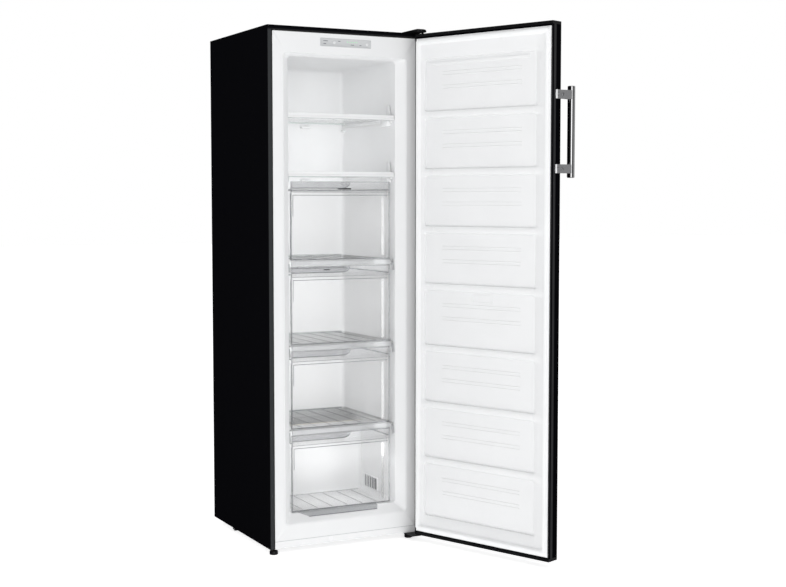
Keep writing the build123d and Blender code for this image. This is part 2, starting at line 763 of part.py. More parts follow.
with BuildPart() as roller_brackets:
    for roller_x in ROLLER_SPOTS.values():
        half = EAR_OFFSET + 1
        ear_top = BAY_FLOOR - 2
        block(roller_x - half, roller_x + half, ROLLER_Y - 15, ROLLER_Y + 15, ear_top, BAY_FLOOR)
        for side in (-1, 1):
            ear_x = roller_x + side * EAR_OFFSET
            ear_y0, ear_y1 = ROLLER_Y - EAR_HALF_DEPTH, ROLLER_Y + EAR_HALF_DEPTH
            block(ear_x - 1, ear_x + 1, ear_y0, ear_y1, EAR_LOW, ear_top)
        with BuildSketch(Plane.YZ.offset(roller_x - half)):
            with Locations((ROLLER_Y, ROLLER_RADIUS)):
                Circle(AXLE_RADIUS)
        extrude(amount=2 * half)
keep(roller_brackets, "roller_brackets")

for roller_name, roller_x in ROLLER_SPOTS.items():
    with BuildPart() as roller:
        with BuildSketch(Plane.YZ.offset(roller_x - ROLLER_WIDTH / 2)):
            with Locations((ROLLER_Y, ROLLER_RADIUS)):
                Circle(ROLLER_RADIUS)
                Circle(AXLE_RADIUS + RUNNING_FIT, mode=Mode.SUBTRACT)
        extrude(amount=ROLLER_WIDTH)
    keep(roller, roller_name)

# Hinges -------------------------------------------------------------------------------------
with BuildPart() as top_hinge:
    block(TOP_HINGE_LEFT, HINGE_RIGHT, HINGE_NOSE_Y, TOP_HINGE_TAIL_Y, TOP, TOP + HINGE_PLATE)
    for screw_x, screw_y in TOP_SCREWS:
        post(screw_x, screw_y, SCREW_RADIUS + SLIP, TOP, TOP + 5, Mode.SUBTRACT)
    post(PIN_X, PIN_Y, PIN_RADIUS, DOOR_TOP - 17, TOP + HINGE_PLATE)
keep(top_hinge, "top_hinge")

with BuildPart() as bottom_hinge:
    plate_low = BOTTOM - HINGE_PLATE
    block(BOTTOM_HINGE_LEFT, HINGE_RIGHT, HINGE_NOSE_Y, BOTTOM_HINGE_TAIL_Y, plate_low, BOTTOM)
    foot_x, foot_y = FOOT_SPOTS["front_right_foot"]
    post(foot_x, foot_y, STEM_RADIUS + SLIP, plate_low, BOTTOM, Mode.SUBTRACT)
    for screw_x, screw_y in BOTTOM_SCREWS:
        post(screw_x, screw_y, SCREW_RADIUS + SLIP, plate_low, BOTTOM, Mode.SUBTRACT)
    post(PIN_X, PIN_Y, PIN_RADIUS, plate_low, DOOR_BOTTOM + 17)
keep(bottom_hinge, "bottom_hinge")

with BuildPart() as hinge_screws:
    for screw_x, screw_y in TOP_SCREWS:
        seat = TOP + HINGE_PLATE
        post(screw_x, screw_y, SCREW_HEAD_RADIUS, seat, seat + SCREW_HEAD)
        post(screw_x, screw_y, SCREW_RADIUS, seat - SCREW_LENGTH, seat)
    for screw_x, screw_y in BOTTOM_SCREWS:
        seat = BOTTOM - HINGE_PLATE
        post(screw_x, screw_y, SCREW_HEAD_RADIUS, seat - SCREW_HEAD, seat)
        post(screw_x, screw_y, SCREW_RADIUS, seat, seat + SCREW_LENGTH)
keep(hinge_screws, "hinge_screws")

with BuildPart() as top_hinge_cover:
    cover_left, cover_right = TOP_HINGE_LEFT - COVER_MARGIN, HALF_WIDTH - 0.2
    cover_front, cover_back = HINGE_NOSE_Y - COVER_MARGIN, TOP_HINGE_TAIL_Y + COVER_MARGIN
    block(cover_left, cover_right, cover_front, cover_back, TOP, TOP + COVER_HEIGHT)
    block(
        cover_left + COVER_WALL,
        HINGE_RIGHT + 0.4,
        cover_front + COVER_WALL,
        cover_back - COVER_WALL,
        TOP - 1,
        TOP + COVER_HEIGHT - COVER_WALL,
        Mode.SUBTRACT,
    )
keep(top_hinge_cover, "top_hinge_cover")

# Door ---------------------------------------------------------------------------------------
skin_low = DOOR_BOTTOM + DOOR_CAP
skin_high = DOOR_TOP - DOOR_CAP
with BuildPart() as door_skin:
    for inset, corner, mode in ((0, EDGE_RADIUS, Mode.ADD), (SHEET, EDGE_RADIUS - SHEET, Mode.SUBTRACT)):
        with BuildSketch(Plane.XY.offset(skin_low)) as outline:
            with Locations((0, (DOOR_FRONT_Y + SKIN_RETURN_Y) / 2 + inset)):
                Rectangle(CABINET_WIDTH - 2 * inset, SKIN_RETURN_Y - DOOR_FRONT_Y)
            fillet(outline.vertices().group_by(Axis.Y)[0], corner)
        extrude(amount=skin_high - skin_low, mode=mode)
keep(door_skin, "door_skin", on_door=True)

for cap_name, cap_low, cap_high in (
    ("door_top_cap", skin_high, DOOR_TOP),
    ("door_bottom_cap", DOOR_BOTTOM, skin_low),
):
    with BuildPart() as cap:
        with BuildSketch(Plane.XY.offset(cap_low)) as outline:
            with Locations((0, (DOOR_FRONT_Y + DOOR_BACK_Y) / 2)):
                Rectangle(CABINET_WIDTH, DOOR_THICKNESS)
            fillet(outline.vertices().group_by(Axis.Y)[0], EDGE_RADIUS)
        extrude(amount=cap_high - cap_low)
        post(PIN_X, PIN_Y, BUSH_RADIUS, cap_low, cap_high, Mode.SUBTRACT)
    keep(cap, cap_name, on_door=True)

with BuildPart() as door_side_trims:
    for side in (-1, 1):
        outer = side * HALF_WIDTH
        inner = side * (HALF_WIDTH - SIDE_TRIM)
        block(
            min(outer, inner), max(outer, inner), SKIN_RETURN_Y, DOOR_BACK_Y, skin_low, skin_high
        )
keep(door_side_trims, "door_side_trims", on_door=True)

pocket_spans = []
pocket_high = POCKET_TOP
for pocket_height in POCKET_HEIGHTS:
    pocket_spans.append((pocket_high - pocket_height, pocket_high))
    pocket_high -= pocket_height + POCKET_GAP


def door_pockets(grow):
    """The eight shallow pockets of the door liner, as tapered blocks."""
    with BuildPart() as pockets:
        with BuildSketch(front_plane(DOOR_BACK_Y)):
            for low, high in pocket_spans:
                rounded_front(
                    POCKET_LEFT - grow, POCKET_RIGHT + grow, low - grow, high + grow, 10 + grow
                )
        extrude(amount=POCKET_DEPTH + grow, taper=POCKET_DRAFT)
    return pockets.part


pockets_inside = door_pockets(0)
pockets_outside = door_pockets(PLASTIC)
liner_half = HALF_WIDTH - SIDE_TRIM

with BuildPart() as door_liner:
    block(-liner_half, liner_half, DOOR_BACK_Y - PLASTIC, DOOR_BACK_Y, skin_low, skin_high)
    add(pockets_outside)
    add(pockets_inside, mode=Mode.SUBTRACT)
    block(
        *LINER_BOSS,
        DOOR_BACK_Y,
        DOOR_BACK_Y + LINER_BOSS_HEIGHT,
        LINER_BOSS_LOW,
        LINER_BOSS_LOW + LINER_BOSS[1] - LINER_BOSS[0],
    )
keep(door_liner, "door_liner", on_door=True)

with BuildPart() as door_foam:
    foam_back = DOOR_BACK_Y - PLASTIC
    inside = HALF_WIDTH - SHEET
    block(-inside, inside, DOOR_FRONT_Y + SHEET, SKIN_RETURN_Y, skin_low, skin_high)
    for side in (-1, 1):
        corner_x = side * inside
        block(
            corner_x - 2, corner_x + 2, DOOR_FRONT_Y, DOOR_FRONT_Y + 4, skin_low, skin_high,
            Mode.SUBTRACT,
        )
    block(-liner_half, liner_half, SKIN_RETURN_Y, foam_back, skin_low, skin_high)
    add(pockets_outside, mode=Mode.SUBTRACT)
    post(PIN_X, PIN_Y, BUSH_RADIUS + 1, skin_high - BUSH_LENGTH, skin_high, Mode.SUBTRACT)
    post(PIN_X, PIN_Y, BUSH_RADIUS + 1, skin_low, skin_low + BUSH_LENGTH, Mode.SUBTRACT)
keep(door_foam, "door_foam", on_door=True)

with BuildPart() as hinge_bushes:
    for bush_low, bush_high in (
        (DOOR_BOTTOM, DOOR_BOTTOM + BUSH_LENGTH),
        (DOOR_TOP - BUSH_LENGTH, DOOR_TOP),
    ):
        post(PIN_X, PIN_Y, BUSH_RADIUS, bush_low, bush_high)
        post(PIN_X, PIN_Y, PIN_RADIUS + RUNNING_FIT, bush_low, bush_high, Mode.SUBTRACT)
keep(hinge_bushes, "hinge_bushes", on_door=True)

with BuildPart() as door_gasket:
    gasket_edge = HALF_WIDTH - 2
    with BuildSketch(front_plane(DOOR_BACK_Y)):
        rounded_front(-gasket_edge, gasket_edge, skin_low, skin_high, 8)
        with Locations((0, (skin_low + skin_high) / 2)):
            RectangleRounded(
                2 * (gasket_edge - GASKET_WIDTH),
                skin_high - skin_low - 2 * GASKET_WIDTH,
                3,
                mode=Mode.SUBTRACT,
            )
    extrude(amount=-(GASKET_FRONT_Y - DOOR_BACK_Y), taper=28)
keep(door_gasket, "door_gasket", on_door=True)

# Handle -------------------------------------------------------------------------------------
with BuildPart() as handle_bar:
    post(HANDLE_X, HANDLE_Y, HANDLE_RADIUS, HANDLE_LOW, HANDLE_HIGH)
    hollow_low, hollow_high = HANDLE_LOW + HANDLE_WALL, HANDLE_HIGH - HANDLE_WALL
    post(HANDLE_X, HANDLE_Y, HANDLE_RADIUS - HANDLE_WALL, hollow_low, hollow_high, Mode.SUBTRACT)
    post(HANDLE_X, HANDLE_Y, VENT_RADIUS, HANDLE_LOW, hollow_low, Mode.SUBTRACT)
keep(handle_bar, "handle_bar", on_door=True)

foot_x = -HALF_WIDTH - BRACKET_FOOT
bracket_lows = {
    "upper_handle_bracket": HANDLE_HIGH - BRACKET_INSET - BRACKET_HEIGHT,
    "lower_handle_bracket": HANDLE_LOW + BRACKET_INSET,
}
for bracket_name, bracket_low in bracket_lows.items():
    with BuildPart() as bracket:
        with BuildSketch(Plane.XY.offset(bracket_low)):
            with BuildLine():
                Polyline(
                    (-HALF_WIDTH, DOOR_FRONT_Y + BRACKET_TAIL),
                    (-HALF_WIDTH, DOOR_FRONT_Y + 3),
                    (HANDLE_X + 8, HANDLE_Y + 6),
                    (HANDLE_X - 8, HANDLE_Y + 6),
                    (foot_x - 2, DOOR_FRONT_Y + 6),
                    (foot_x, DOOR_FRONT_Y + BRACKET_TAIL),
                    close=True,
                )
            make_face()
        extrude(amount=BRACKET_HEIGHT)
        post(HANDLE_X, HANDLE_Y, HANDLE_RADIUS, HANDLE_LOW, HANDLE_HIGH, Mode.SUBTRACT)
        screw_plane = Plane.YZ.offset(-HALF_WIDTH)
        with BuildSketch(screw_plane):
            with Locations((DOOR_FRONT_Y + HANDLE_SCREW_SET, bracket_low + BRACKET_HEIGHT / 2)):
                Circle(HANDLE_SCREW_RADIUS + 0.2)
        extrude(amount=-10, mode=Mode.SUBTRACT)
    keep(bracket, bracket_name, on_door=True)

with BuildPart() as handle_screws:
    for bracket_low in bracket_lows.values():
        centre = (DOOR_FRONT_Y + HANDLE_SCREW_SET, bracket_low + BRACKET_HEIGHT / 2)
        with BuildSketch(Plane.YZ.offset(-HALF_WIDTH)):
            with Locations(centre):
                Circle(HANDLE_SCREW_RADIUS)
        extrude(amount=-6)
        with BuildSketch(Plane.YZ.offset(-HALF_WIDTH - 5.2)):
            with Locations(centre):
                Circle(HANDLE_SCREW_HEAD)
        extrude(amount=-2)
keep(handle_screws, "handle_screws", on_door=True)

# The whole freezer is moved so that the origin is under the middle of its box -----------------
boxes = [piece.bounding_box() for piece in pieces.values()]
SHIFT_X = -(min(box.min.X for box in boxes) + max(box.max.X for box in boxes)) / 2
SHIFT_Y = -(min(box.min.Y for box in boxes) + max(box.max.Y for box in boxes)) / 2

os.makedirs("parts", exist_ok=True)
for name, piece in pieces.items():
    placed = Pos(SHIFT_X, SHIFT_Y, 0) * piece
    placed.label = name
    export_step(placed, f"parts/{name}.step")
print(len(pieces), "pieces; cabinet centre at x", round(SHIFT_X, 2), "y", round(SHIFT_Y, 2))
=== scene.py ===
import json
import math

import bmesh
import bpy
from mathutils import Matrix, Vector


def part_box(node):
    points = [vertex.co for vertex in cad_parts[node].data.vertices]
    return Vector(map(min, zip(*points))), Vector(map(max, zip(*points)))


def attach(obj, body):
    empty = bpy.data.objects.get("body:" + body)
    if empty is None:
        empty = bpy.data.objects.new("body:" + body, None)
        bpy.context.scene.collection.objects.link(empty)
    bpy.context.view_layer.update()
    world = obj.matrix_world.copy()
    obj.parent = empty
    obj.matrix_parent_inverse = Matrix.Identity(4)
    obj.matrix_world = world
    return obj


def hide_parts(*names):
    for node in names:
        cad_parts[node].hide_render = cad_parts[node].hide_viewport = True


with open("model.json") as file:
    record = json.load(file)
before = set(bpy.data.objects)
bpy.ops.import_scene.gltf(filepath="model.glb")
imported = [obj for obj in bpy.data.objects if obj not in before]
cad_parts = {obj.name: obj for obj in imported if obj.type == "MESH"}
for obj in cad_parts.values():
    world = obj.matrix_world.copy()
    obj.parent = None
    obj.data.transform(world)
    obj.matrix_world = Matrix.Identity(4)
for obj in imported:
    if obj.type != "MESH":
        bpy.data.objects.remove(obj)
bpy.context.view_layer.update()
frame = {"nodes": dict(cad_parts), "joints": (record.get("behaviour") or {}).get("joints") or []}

# Cabinet axes have x = 0 in the middle of the cabinet, y = 0 at the shell's front edge with +y towards
# the back, and z = 0 on the floor, all in metres. Door pieces are drawn with the door shut, and the
# DOOR matrix swings them open to where the frame holds the door.
shell_low, shell_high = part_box("cabinet_shell")
CENTRE_X = (shell_low.x + shell_high.x) / 2
FRONT_Y = shell_low.y
HALF_WIDTH = (shell_high.x - shell_low.x) / 2
BOTTOM, TOP = shell_low.z, shell_high.z
hinge = next(joint for joint in frame["joints"] if joint["name"] == "door_hinge")
PIN = Vector((hinge["pos_m"][0] - CENTRE_X, hinge["pos_m"][1] - FRONT_Y, 0))
OPEN_ANGLE = math.radians(-hinge["range_deg"][0])
CABINET = Matrix.Translation((CENTRE_X, FRONT_Y, 0))
DOOR = CABINET @ Matrix.Translation(PIN) @ Matrix.Rotation(OPEN_ANGLE, 4, "Z") @ Matrix.Translation(-PIN)


def cabinet_box(node):
    """A cabinet node's box in cabinet axes."""
    low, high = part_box(node)
    offset = Vector((CENTRE_X, FRONT_Y, 0))
    return low - offset, high - offset


def shut_box(node):
    """A door node's box with the door shut, in cabinet axes."""
    back = DOOR.inverted()
    corners = [back @ vertex.co for vertex in frame["nodes"][node].data.vertices]
    low = Vector(min(c[axis] for c in corners) for axis in range(3))
    high = Vector(max(c[axis] for c in corners) for axis in range(3))
    return low, high


def add_object(name, data):
    made = bpy.data.objects.new(name, data)
    bpy.context.scene.collection.objects.link(made)
    return made


# --- Camera ---
CAMERA_FROM_CORNER = Vector((-1.671, -4.131, 1.157))
CAMERA_YAW = math.radians(27.24)
CAMERA_PITCH = math.radians(3.95)
LENS = 62.43
SENSOR_WIDTH = 36.0


def make_camera():
    data = bpy.data.cameras.new("camera")
    data.lens = LENS
    data.sensor_width = SENSOR_WIDTH
    camera = add_object("camera", data)
    camera.location = Vector(shell_low) + CAMERA_FROM_CORNER
    camera.rotation_euler = (math.radians(90) - CAMERA_PITCH, 0, -CAMERA_YAW)
    bpy.context.scene.camera = camera


# --- Light and stage ---
PANELS = (  # share of the turn round the studio, brightness of the wall there
    (0.0, 0.01), (0.472, 0.01), (0.488, 1.3), (0.566, 1.3), (0.58, 0.02), (0.645, 0.02),
    (0.665, 0.16), (0.8, 0.34), (1.0, 0.04),
)
BEHIND_CAMERA = math.radians(90) + CAMERA_YAW
AMBIENT_TINT = (0.99, 0.993, 1, 1)
AMBIENT_STRENGTH = 0.57
LIGHTS = (  # name, place, aim, width and height, watts, spread in degrees
    ("front_softbox", (-2.2, -3.4, 1.5), (0.0, 0.3, 0.85), (2.4, 2.4), 35.0, 180),
    ("shelf_fill", (0.0, 0.047, 1.43), (0.02, 0.4, 1.43), (0.34, 0.4), 0.26, 90),
    ("drawer_fill", (0.0, 0.047, 0.75), (0.02, 0.4, 0.75), (0.34, 0.92), 1.3, 110),
    ("floor_fill", (0.0, 0.044, 0.33), (0.02, 0.2, 0.12), (0.34, 0.1), 0.2, 110),
)
FLOOR_REACH = 30.0


def add_node(tree, kind, **sockets):
    """A new node, its sockets set to constants or linked to other nodes' outputs."""
    node = tree.nodes.new(f"ShaderNode{kind}")
    for name, value in sockets.items():
        socket = node.inputs[name.replace("_", " ")]
        if isinstance(value, bpy.types.NodeSocket):
            tree.links.new(value, socket)
        else:
            socket.default_value = value
    return node


def studio_panels(tree):
    """What polished metal mirrors: dark walls with one bright panel behind the camera."""
    where = add_node(tree, "TexCoord").outputs["Generated"]
    turned = add_node(tree, "Mapping", Vector=where, Rotation=(0, 0, BEHIND_CAMERA)).outputs["Vector"]
    split = add_node(tree, "SeparateXYZ", Vector=turned)
    angle = add_node(tree, "Math")
    angle.operation = "ARCTAN2"
    tree.links.new(split.outputs["Y"], angle.inputs[0])
    tree.links.new(split.outputs["X"], angle.inputs[1])
    share = add_node(tree, "MapRange", Value=angle.outputs[0], From_Min=-math.pi, From_Max=math.pi)
    walls = add_node(tree, "ValToRGB", Fac=share.outputs["Result"])
    stops = walls.color_ramp.elements
    while len(stops) < len(PANELS):
        stops.new(0.5)
    for stop, (position, grey) in zip(stops, PANELS):
        stop.position = position
        stop.color = (grey, grey, grey, 1)
    return walls.outputs["Color"]


def make_world(scene):
    """A white backdrop for the camera, soft ambient light, and studio panels for reflections."""
    world = bpy.data.worlds.new("studio")
    scene.world = world
    world.use_nodes = True
    tree = world.node_tree
    tree.nodes.clear()
    path = add_node(tree, "LightPath")
    lit = add_node(tree, "Background", Color=AMBIENT_TINT, Strength=AMBIENT_STRENGTH)
    mirrored = add_node(tree, "Background", Color=studio_panels(tree))
    seen = add_node(tree, "Background", Color=(1, 1, 1, 1))
    polished = add_node(tree, "MixShader", Fac=path.outputs["Is Glossy Ray"])
    tree.links.new(lit.outputs[0], polished.inputs[1])
    tree.links.new(mirrored.outputs[0], polished.inputs[2])
    mix = add_node(tree, "MixShader", Fac=path.outputs["Is Camera Ray"])
    tree.links.new(polished.outputs[0], mix.inputs[1])
    tree.links.new(seen.outputs[0], mix.inputs[2])
    add_node(tree, "OutputWorld", Surface=mix.outputs[0])


def make_light():
    scene = bpy.context.scene
    scene.view_settings.view_transform = "Standard"
    scene.view_settings.look = "None"
    make_world(scene)
    for name, spot, aim, size, energy, spread in LIGHTS:
        data = bpy.data.lights.new(name, "AREA")
        data.shape = "RECTANGLE"
        data.size, data.size_y = size
        data.energy = energy
        data.spread = math.radians(spread)
        light = add_object(name, data)
        light.visible_camera = False
        light.visible_glossy = False
        light.location = CABINET @ Vector(spot)
        direction = (CABINET @ Vector(aim)) - light.location
        light.rotation_euler = direction.to_track_quat("-Z", "Y").to_euler()


def make_floor(material):
    mesh = bpy.data.meshes.new("studio_floor")
    corners = [(x * FLOOR_REACH, y * FLOOR_REACH, 0) for x, y in ((-1, -1), (1, -1), (1, 1), (-1, 1))]
    mesh.from_pydata(corners, [], [(0, 1, 2, 3)])
    floor = add_object("studio_floor", mesh)
    floor.data.materials.append(material)
    floor.visible_glossy = False


# --- Materials ---
def shader(name, colour, roughness, metallic=0.0, specular=0.5):
    """A new Principled material with its constants set on the sockets."""
    material = bpy.data.materials.new(name)
    material.use_nodes = True
    principled = material.node_tree.nodes["Principled BSDF"]
    principled.inputs["Base Color"].default_value = (*colour, 1)
    principled.inputs["Roughness"].default_value = roughness
    principled.inputs["Metallic"].default_value = metallic
    principled.inputs["Specular IOR Level"].default_value = specular
    return material, principled


def noise(material, scale, detail=3.0, stretch=(1, 1, 1)):
    """Noise over the piece's own coordinates, in metres."""
    tree = material.node_tree
    where = add_node(tree, "TexCoord").outputs["Object"]
    spot = add_node(tree, "Mapping", Vector=where, Scale=stretch).outputs["Vector"]
    return add_node(tree, "TexNoise", Vector=spot, Scale=scale, Detail=detail).outputs["Fac"]


def rgba(value):
    """A colour or a grey as red, green, blue and alpha."""
    return (*value, 1) if isinstance(value, tuple) else (value, value, value, 1)


def ramp(material, value, low, high, start=0.3, end=0.7):
    """A colour ramp between two colours or greys."""
    node = add_node(material.node_tree, "ValToRGB", Fac=value)
    for stop, position, colour in zip(node.color_ramp.elements, (start, end), (low, high)):
        stop.position = position
        stop.color = rgba(colour)
    return node.outputs["Color"]


def dress(material, principled, height, strength, distance, **looks):
    """Links looks such as a base colour to the material's shader, and bumps its surface."""
    tree = material.node_tree
    for name, output in looks.items():
        tree.links.new(output, principled.inputs[name.replace("_", " ")])
    bump = add_node(tree, "Bump", Height=height, Strength=strength, Distance=distance)
    tree.links.new(bump.outputs["Normal"], principled.inputs["Normal"])
    return material


def moulded(name, colour, spread, roughness, grain, depth, specular=0.5, metallic=0.0, stretch=(1, 1, 1)):
    """Paint or moulded plastic: a little cloudiness in its colour and gloss, and a fine grain."""
    material, principled = shader(name, colour, roughness, metallic, specular)
    low = tuple(max(0.0, c * (1 - spread)) for c in colour)
    high = tuple(min(1.0, c * (1 + spread)) for c in colour)
    return dress(
        material, principled, noise(material, grain, 2.0, stretch), 0.35, depth,
        Base_Color=ramp(material, noise(material, 6.0), low, high),
        Roughness=ramp(material, noise(material, 14.0), roughness * 0.85, min(1.0, roughness * 1.15)),
    )


def map_range(material, value, start, end):
    """A value mapped to 0 at start and 1 at end."""
    node = add_node(material.node_tree, "MapRange", Value=value, From_Min=start, From_Max=end)
    return node.outputs["Result"]


def black_steel(name):
    """Textured black paint, with a painted reflection: faces towards the front are coloured grey as if
    catching light, except along the top rail.
    """
    material, principled = shader(name, (0.002, 0.002, 0.003), 0.5, 0.0, 0.002)
    tree = material.node_tree
    where = add_node(tree, "TexCoord")
    normal = add_node(tree, "SeparateXYZ", Vector=where.outputs["Normal"])
    place = add_node(tree, "SeparateXYZ", Vector=where.outputs["Object"])
    # painted reflection: grey base colour on the front-facing faces below the top rail
    catch = add_node(tree, "Math")
    catch.operation = "MULTIPLY"
    facing = map_range(material, normal.outputs["Y"], -0.8, -0.98)
    below_rail = map_range(material, place.outputs["Z"], TOP - 0.01, TOP - 0.018)
    tree.links.new(facing, catch.inputs[0])
    tree.links.new(below_rail, catch.inputs[1])
    return dress(
        material, principled, noise(material, 900.0, 2.0), 0.2, 0.0001,
        Base_Color=ramp(material, catch.outputs[0], (0.0032, 0.0032, 0.0041), (0.038, 0.04, 0.042), 0, 1),
        Roughness=ramp(material, noise(material, 30.0), 0.47, 0.53),
    )


def clear(name, tint, alpha, edge_alpha, roughness):
    """Clear moulded plastic or glass: thin to look through, denser at glancing angles."""
    material, principled = shader(name, tint, roughness, 0.0, 0.6)
    tree = material.node_tree
    facing = add_node(tree, "LayerWeight", Blend=0.35).outputs["Facing"]
    cover = add_node(tree, "MapRange", Value=facing, To_Min=alpha, To_Max=edge_alpha)
    material.surface_render_method = "DITHERED"
    return dress(
        material, principled, noise(material, 160.0, 2.0), 0.15, 0.0004,
        Alpha=cover.outputs["Result"],
        Roughness=ramp(material, noise(material, 30.0), roughness * 0.6, roughness * 1.5),
    )


def spangled(name, colour):
    """Galvanised sheet: crystals of slightly different brightness."""
    material, principled = shader(name, colour, 0.42, 0.9, 0.5)
    tree = material.node_tree
    where = add_node(tree, "TexCoord").outputs["Object"]
    cells = add_node(tree, "TexVoronoi", Vector=where, Scale=120.0)
    return dress(
        material, principled, cells.outputs["Distance"], 0.1, 0.0003,
        Base_Color=ramp(material, cells.outputs["Color"], tuple(c * 0.82 for c in colour), colour),
        Roughness=ramp(material, noise(material, 40.0), 0.34, 0.5),
    )


def brushed(name, colour, roughness, stretch):
    """Brushed metal, with the brushing along the axis that stretch scales least."""
    material, principled = shader(name, colour, roughness, 1.0, 0.5)
    fine = noise(material, 700.0, 2.0, stretch)
    return dress(
        material, principled, fine, 0.12, 0.00008,
        Base_Color=ramp(material, fine, tuple(c * 0.9 for c in colour), colour),
        Roughness=ramp(material, fine, roughness * 0.7, roughness * 1.3),
    )


def lamp(name, colour, strength):
    """A small lit lens."""
    material, principled = shader(name, colour, 0.3)
    principled.inputs["Emission Color"].default_value = (*colour, 1)
    principled.inputs["Emission Strength"].default_value = strength
    links = material.node_tree.links
    low = tuple(c * 0.85 for c in colour)
    links.new(ramp(material, noise(material, 800.0), low, colour), principled.inputs["Base Color"])
    return material


def studio_floor(name, colour, glow):
    """A plain pale floor, lit evenly enough to run into the backdrop."""
    material = moulded(name, colour, 0.004, 0.6, 40, 0.0002, 0.05)
    principled = material.node_tree.nodes["Principled BSDF"]
    principled.inputs["Emission Color"].default_value = (1, 1, 1, 1)
    principled.inputs["Emission Strength"].default_value = glow
    return material


MOULDED = {  # colour, spread, roughness, grain, depth, specular, metallic, stretch
    "door_black": ((0.0021, 0.0021, 0.0029), 0.1, 0.45, 900, 0.0001, 0.002),
    "white_liner": ((0.86, 0.865, 0.87), 0.012, 0.36, 420, 0.00025),
    "white_trim": ((0.88, 0.885, 0.89), 0.012, 0.24, 500, 0.00015),
    "grey_panel": ((0.58, 0.59, 0.6), 0.02, 0.34, 1200, 0.00008, 0.5, 0.0, (0.05, 1, 1)),
    "panel_mark": ((0.14, 0.15, 0.17), 0.08, 0.5, 900, 0.0001),
    # also used as painted shade in the vent grille's air slots, and for the small marks on the drawer bands
    "slot_dark": ((0.035, 0.035, 0.04), 0.1, 0.6, 500, 0.0001),
    # also used as a painted shade line under the open shelves' fronts
    "runner_and_shade_grey": ((0.45, 0.46, 0.47), 0.03, 0.35, 500, 0.0001),
    "button_white": ((0.8, 0.81, 0.82), 0.015, 0.22, 500, 0.0001),
    "foam": ((0.8, 0.68, 0.38), 0.1, 0.9, 260, 0.001),
    "circuit_board": ((0.03, 0.2, 0.08), 0.1, 0.4, 600, 0.0002),
    "black_plastic": ((0.006, 0.006, 0.007), 0.2, 0.42, 800, 0.0003, 0.3),
    "gasket_white": ((0.92, 0.925, 0.93), 0.02, 0.55, 500, 0.0003, 0.35),
    # also used as painted shade in the gap round the white flange
    "rubber_black": ((0.02, 0.02, 0.02), 0.2, 0.7, 500, 0.0004, 0.3),
    "compressor_black": ((0.012, 0.012, 0.013), 0.2, 0.3, 300, 0.0004),
    "copper_tube": ((0.72, 0.36, 0.22), 0.15, 0.3, 200, 0.0002, 0.5, 1.0),
    "steel_tube": ((0.03, 0.03, 0.03), 0.2, 0.45, 200, 0.0002),
    # a white used as a painted highlight on the handle brackets' edges
    "painted_edge_highlight": ((0.9, 0.9, 0.91), 0.02, 0.25, 500, 0.0001),
    "bracket_steel": ((0.2, 0.2, 0.205), 0.06, 0.3, 900, 0.0001, 0.5, 0.0, (1, 1, 0.05)),
    "hinge_black": ((0.006, 0.006, 0.007), 0.2, 0.4, 700, 0.0002, 0.2),
    "grey_trim": ((0.03, 0.03, 0.032), 0.1, 0.5, 800, 0.0002, 0.01),
}
CLEAR = {  # tint, cover when faced, cover at a glancing angle, roughness
    "shelf_glass": ((0.94, 0.955, 0.955), 0.05, 0.32, 0.05),
    "glass_edge": ((0.66, 0.74, 0.72), 0.5, 0.75, 0.1),
    "clear_plastic": ((0.93, 0.935, 0.945), 0.012, 0.17, 0.08),
    "clear_rim": ((0.52, 0.53, 0.55), 0.26, 0.62, 0.12),
    "clear_line": ((0.16, 0.165, 0.18), 0.74, 0.88, 0.2),
    "clear_rib": ((0.52, 0.53, 0.55), 0.1, 0.3, 0.12),
    "clear_band": ((0.5, 0.51, 0.53), 0.13, 0.3, 0.12),
    # dark grey tint: painted shade in the drawers' grip hollows; also used for the lowest drawer's lip
    "clear_channel": ((0.34, 0.35, 0.37), 0.42, 0.58, 0.15),
    # painted highlight on the drawers' rounded right corners
    "corner_highlight": ((0.66, 0.665, 0.67), 0.3, 0.42, 0.2),
    "frosted": ((0.66, 0.67, 0.68), 0.42, 0.7, 0.3),
}
M = {name: moulded(name, *look) for name, look in MOULDED.items()}
M |= {name: clear(name, *look) for name, look in CLEAR.items()}
M |= {
    "black_steel": black_steel("black_steel"),
    "galvanised_steel": spangled("galvanised_steel", (0.62, 0.63, 0.64)),
    "handle_polish": brushed("handle_polish", (0.86, 0.86, 0.87), 0.07, (1, 1, 0.02)),
    "zinc_screw": brushed("zinc_screw", (0.66, 0.66, 0.68), 0.28, (1, 1, 1)),
    "led_green": lamp("led_green", (0.25, 0.8, 0.35), 0.4),
    "floor": studio_floor("floor", (0.9, 0.9, 0.9), 0.72),
}


# --- Mesh helpers ---
def rounded_loop(x0, x1, y0, y1, radius, steps=6):
    """Points round a rounded rectangle, anticlockwise, the same number for any size."""
    centres = ((x1 - radius, y1 - radius), (x0 + radius, y1 - radius),
               (x0 + radius, y0 + radius), (x1 - radius, y0 + radius))
    points = []
    for quarter, (cx, cy) in enumerate(centres):
        for step in range(steps + 1):
            angle = math.pi / 2 * (quarter + step / steps)
            points.append((cx + radius * math.cos(angle), cy + radius * math.sin(angle)))
    return points


def front_ring(x0, x1, z0, z1, radius, y, steps=6):
    """A rounded rectangle that stands upright and faces the front, at depth y."""
    return [(x, y, z) for x, z in rounded_loop(x0, x1, z0, z1, radius, steps)]


def flat_ring(x0, x1, y0, y1, radius, z, steps=6):
    """A rounded rectangle that lies flat at height z."""
    return [(x, y, z) for x, y in rounded_loop(x0, x1, y0, y1, radius, steps)]


def round_ring(x, y, z, radius, count=32):
    turn = 2 * math.pi / count
    return [(x + radius * math.cos(i * turn), y + radius * math.sin(i * turn), z) for i in range(count)]


def both_sides(outer, inner):
    """The ends along x of something on the left, and of its mirror image on the right."""
    return [sorted((side * outer, side * inner)) for side in (-1, 1)]


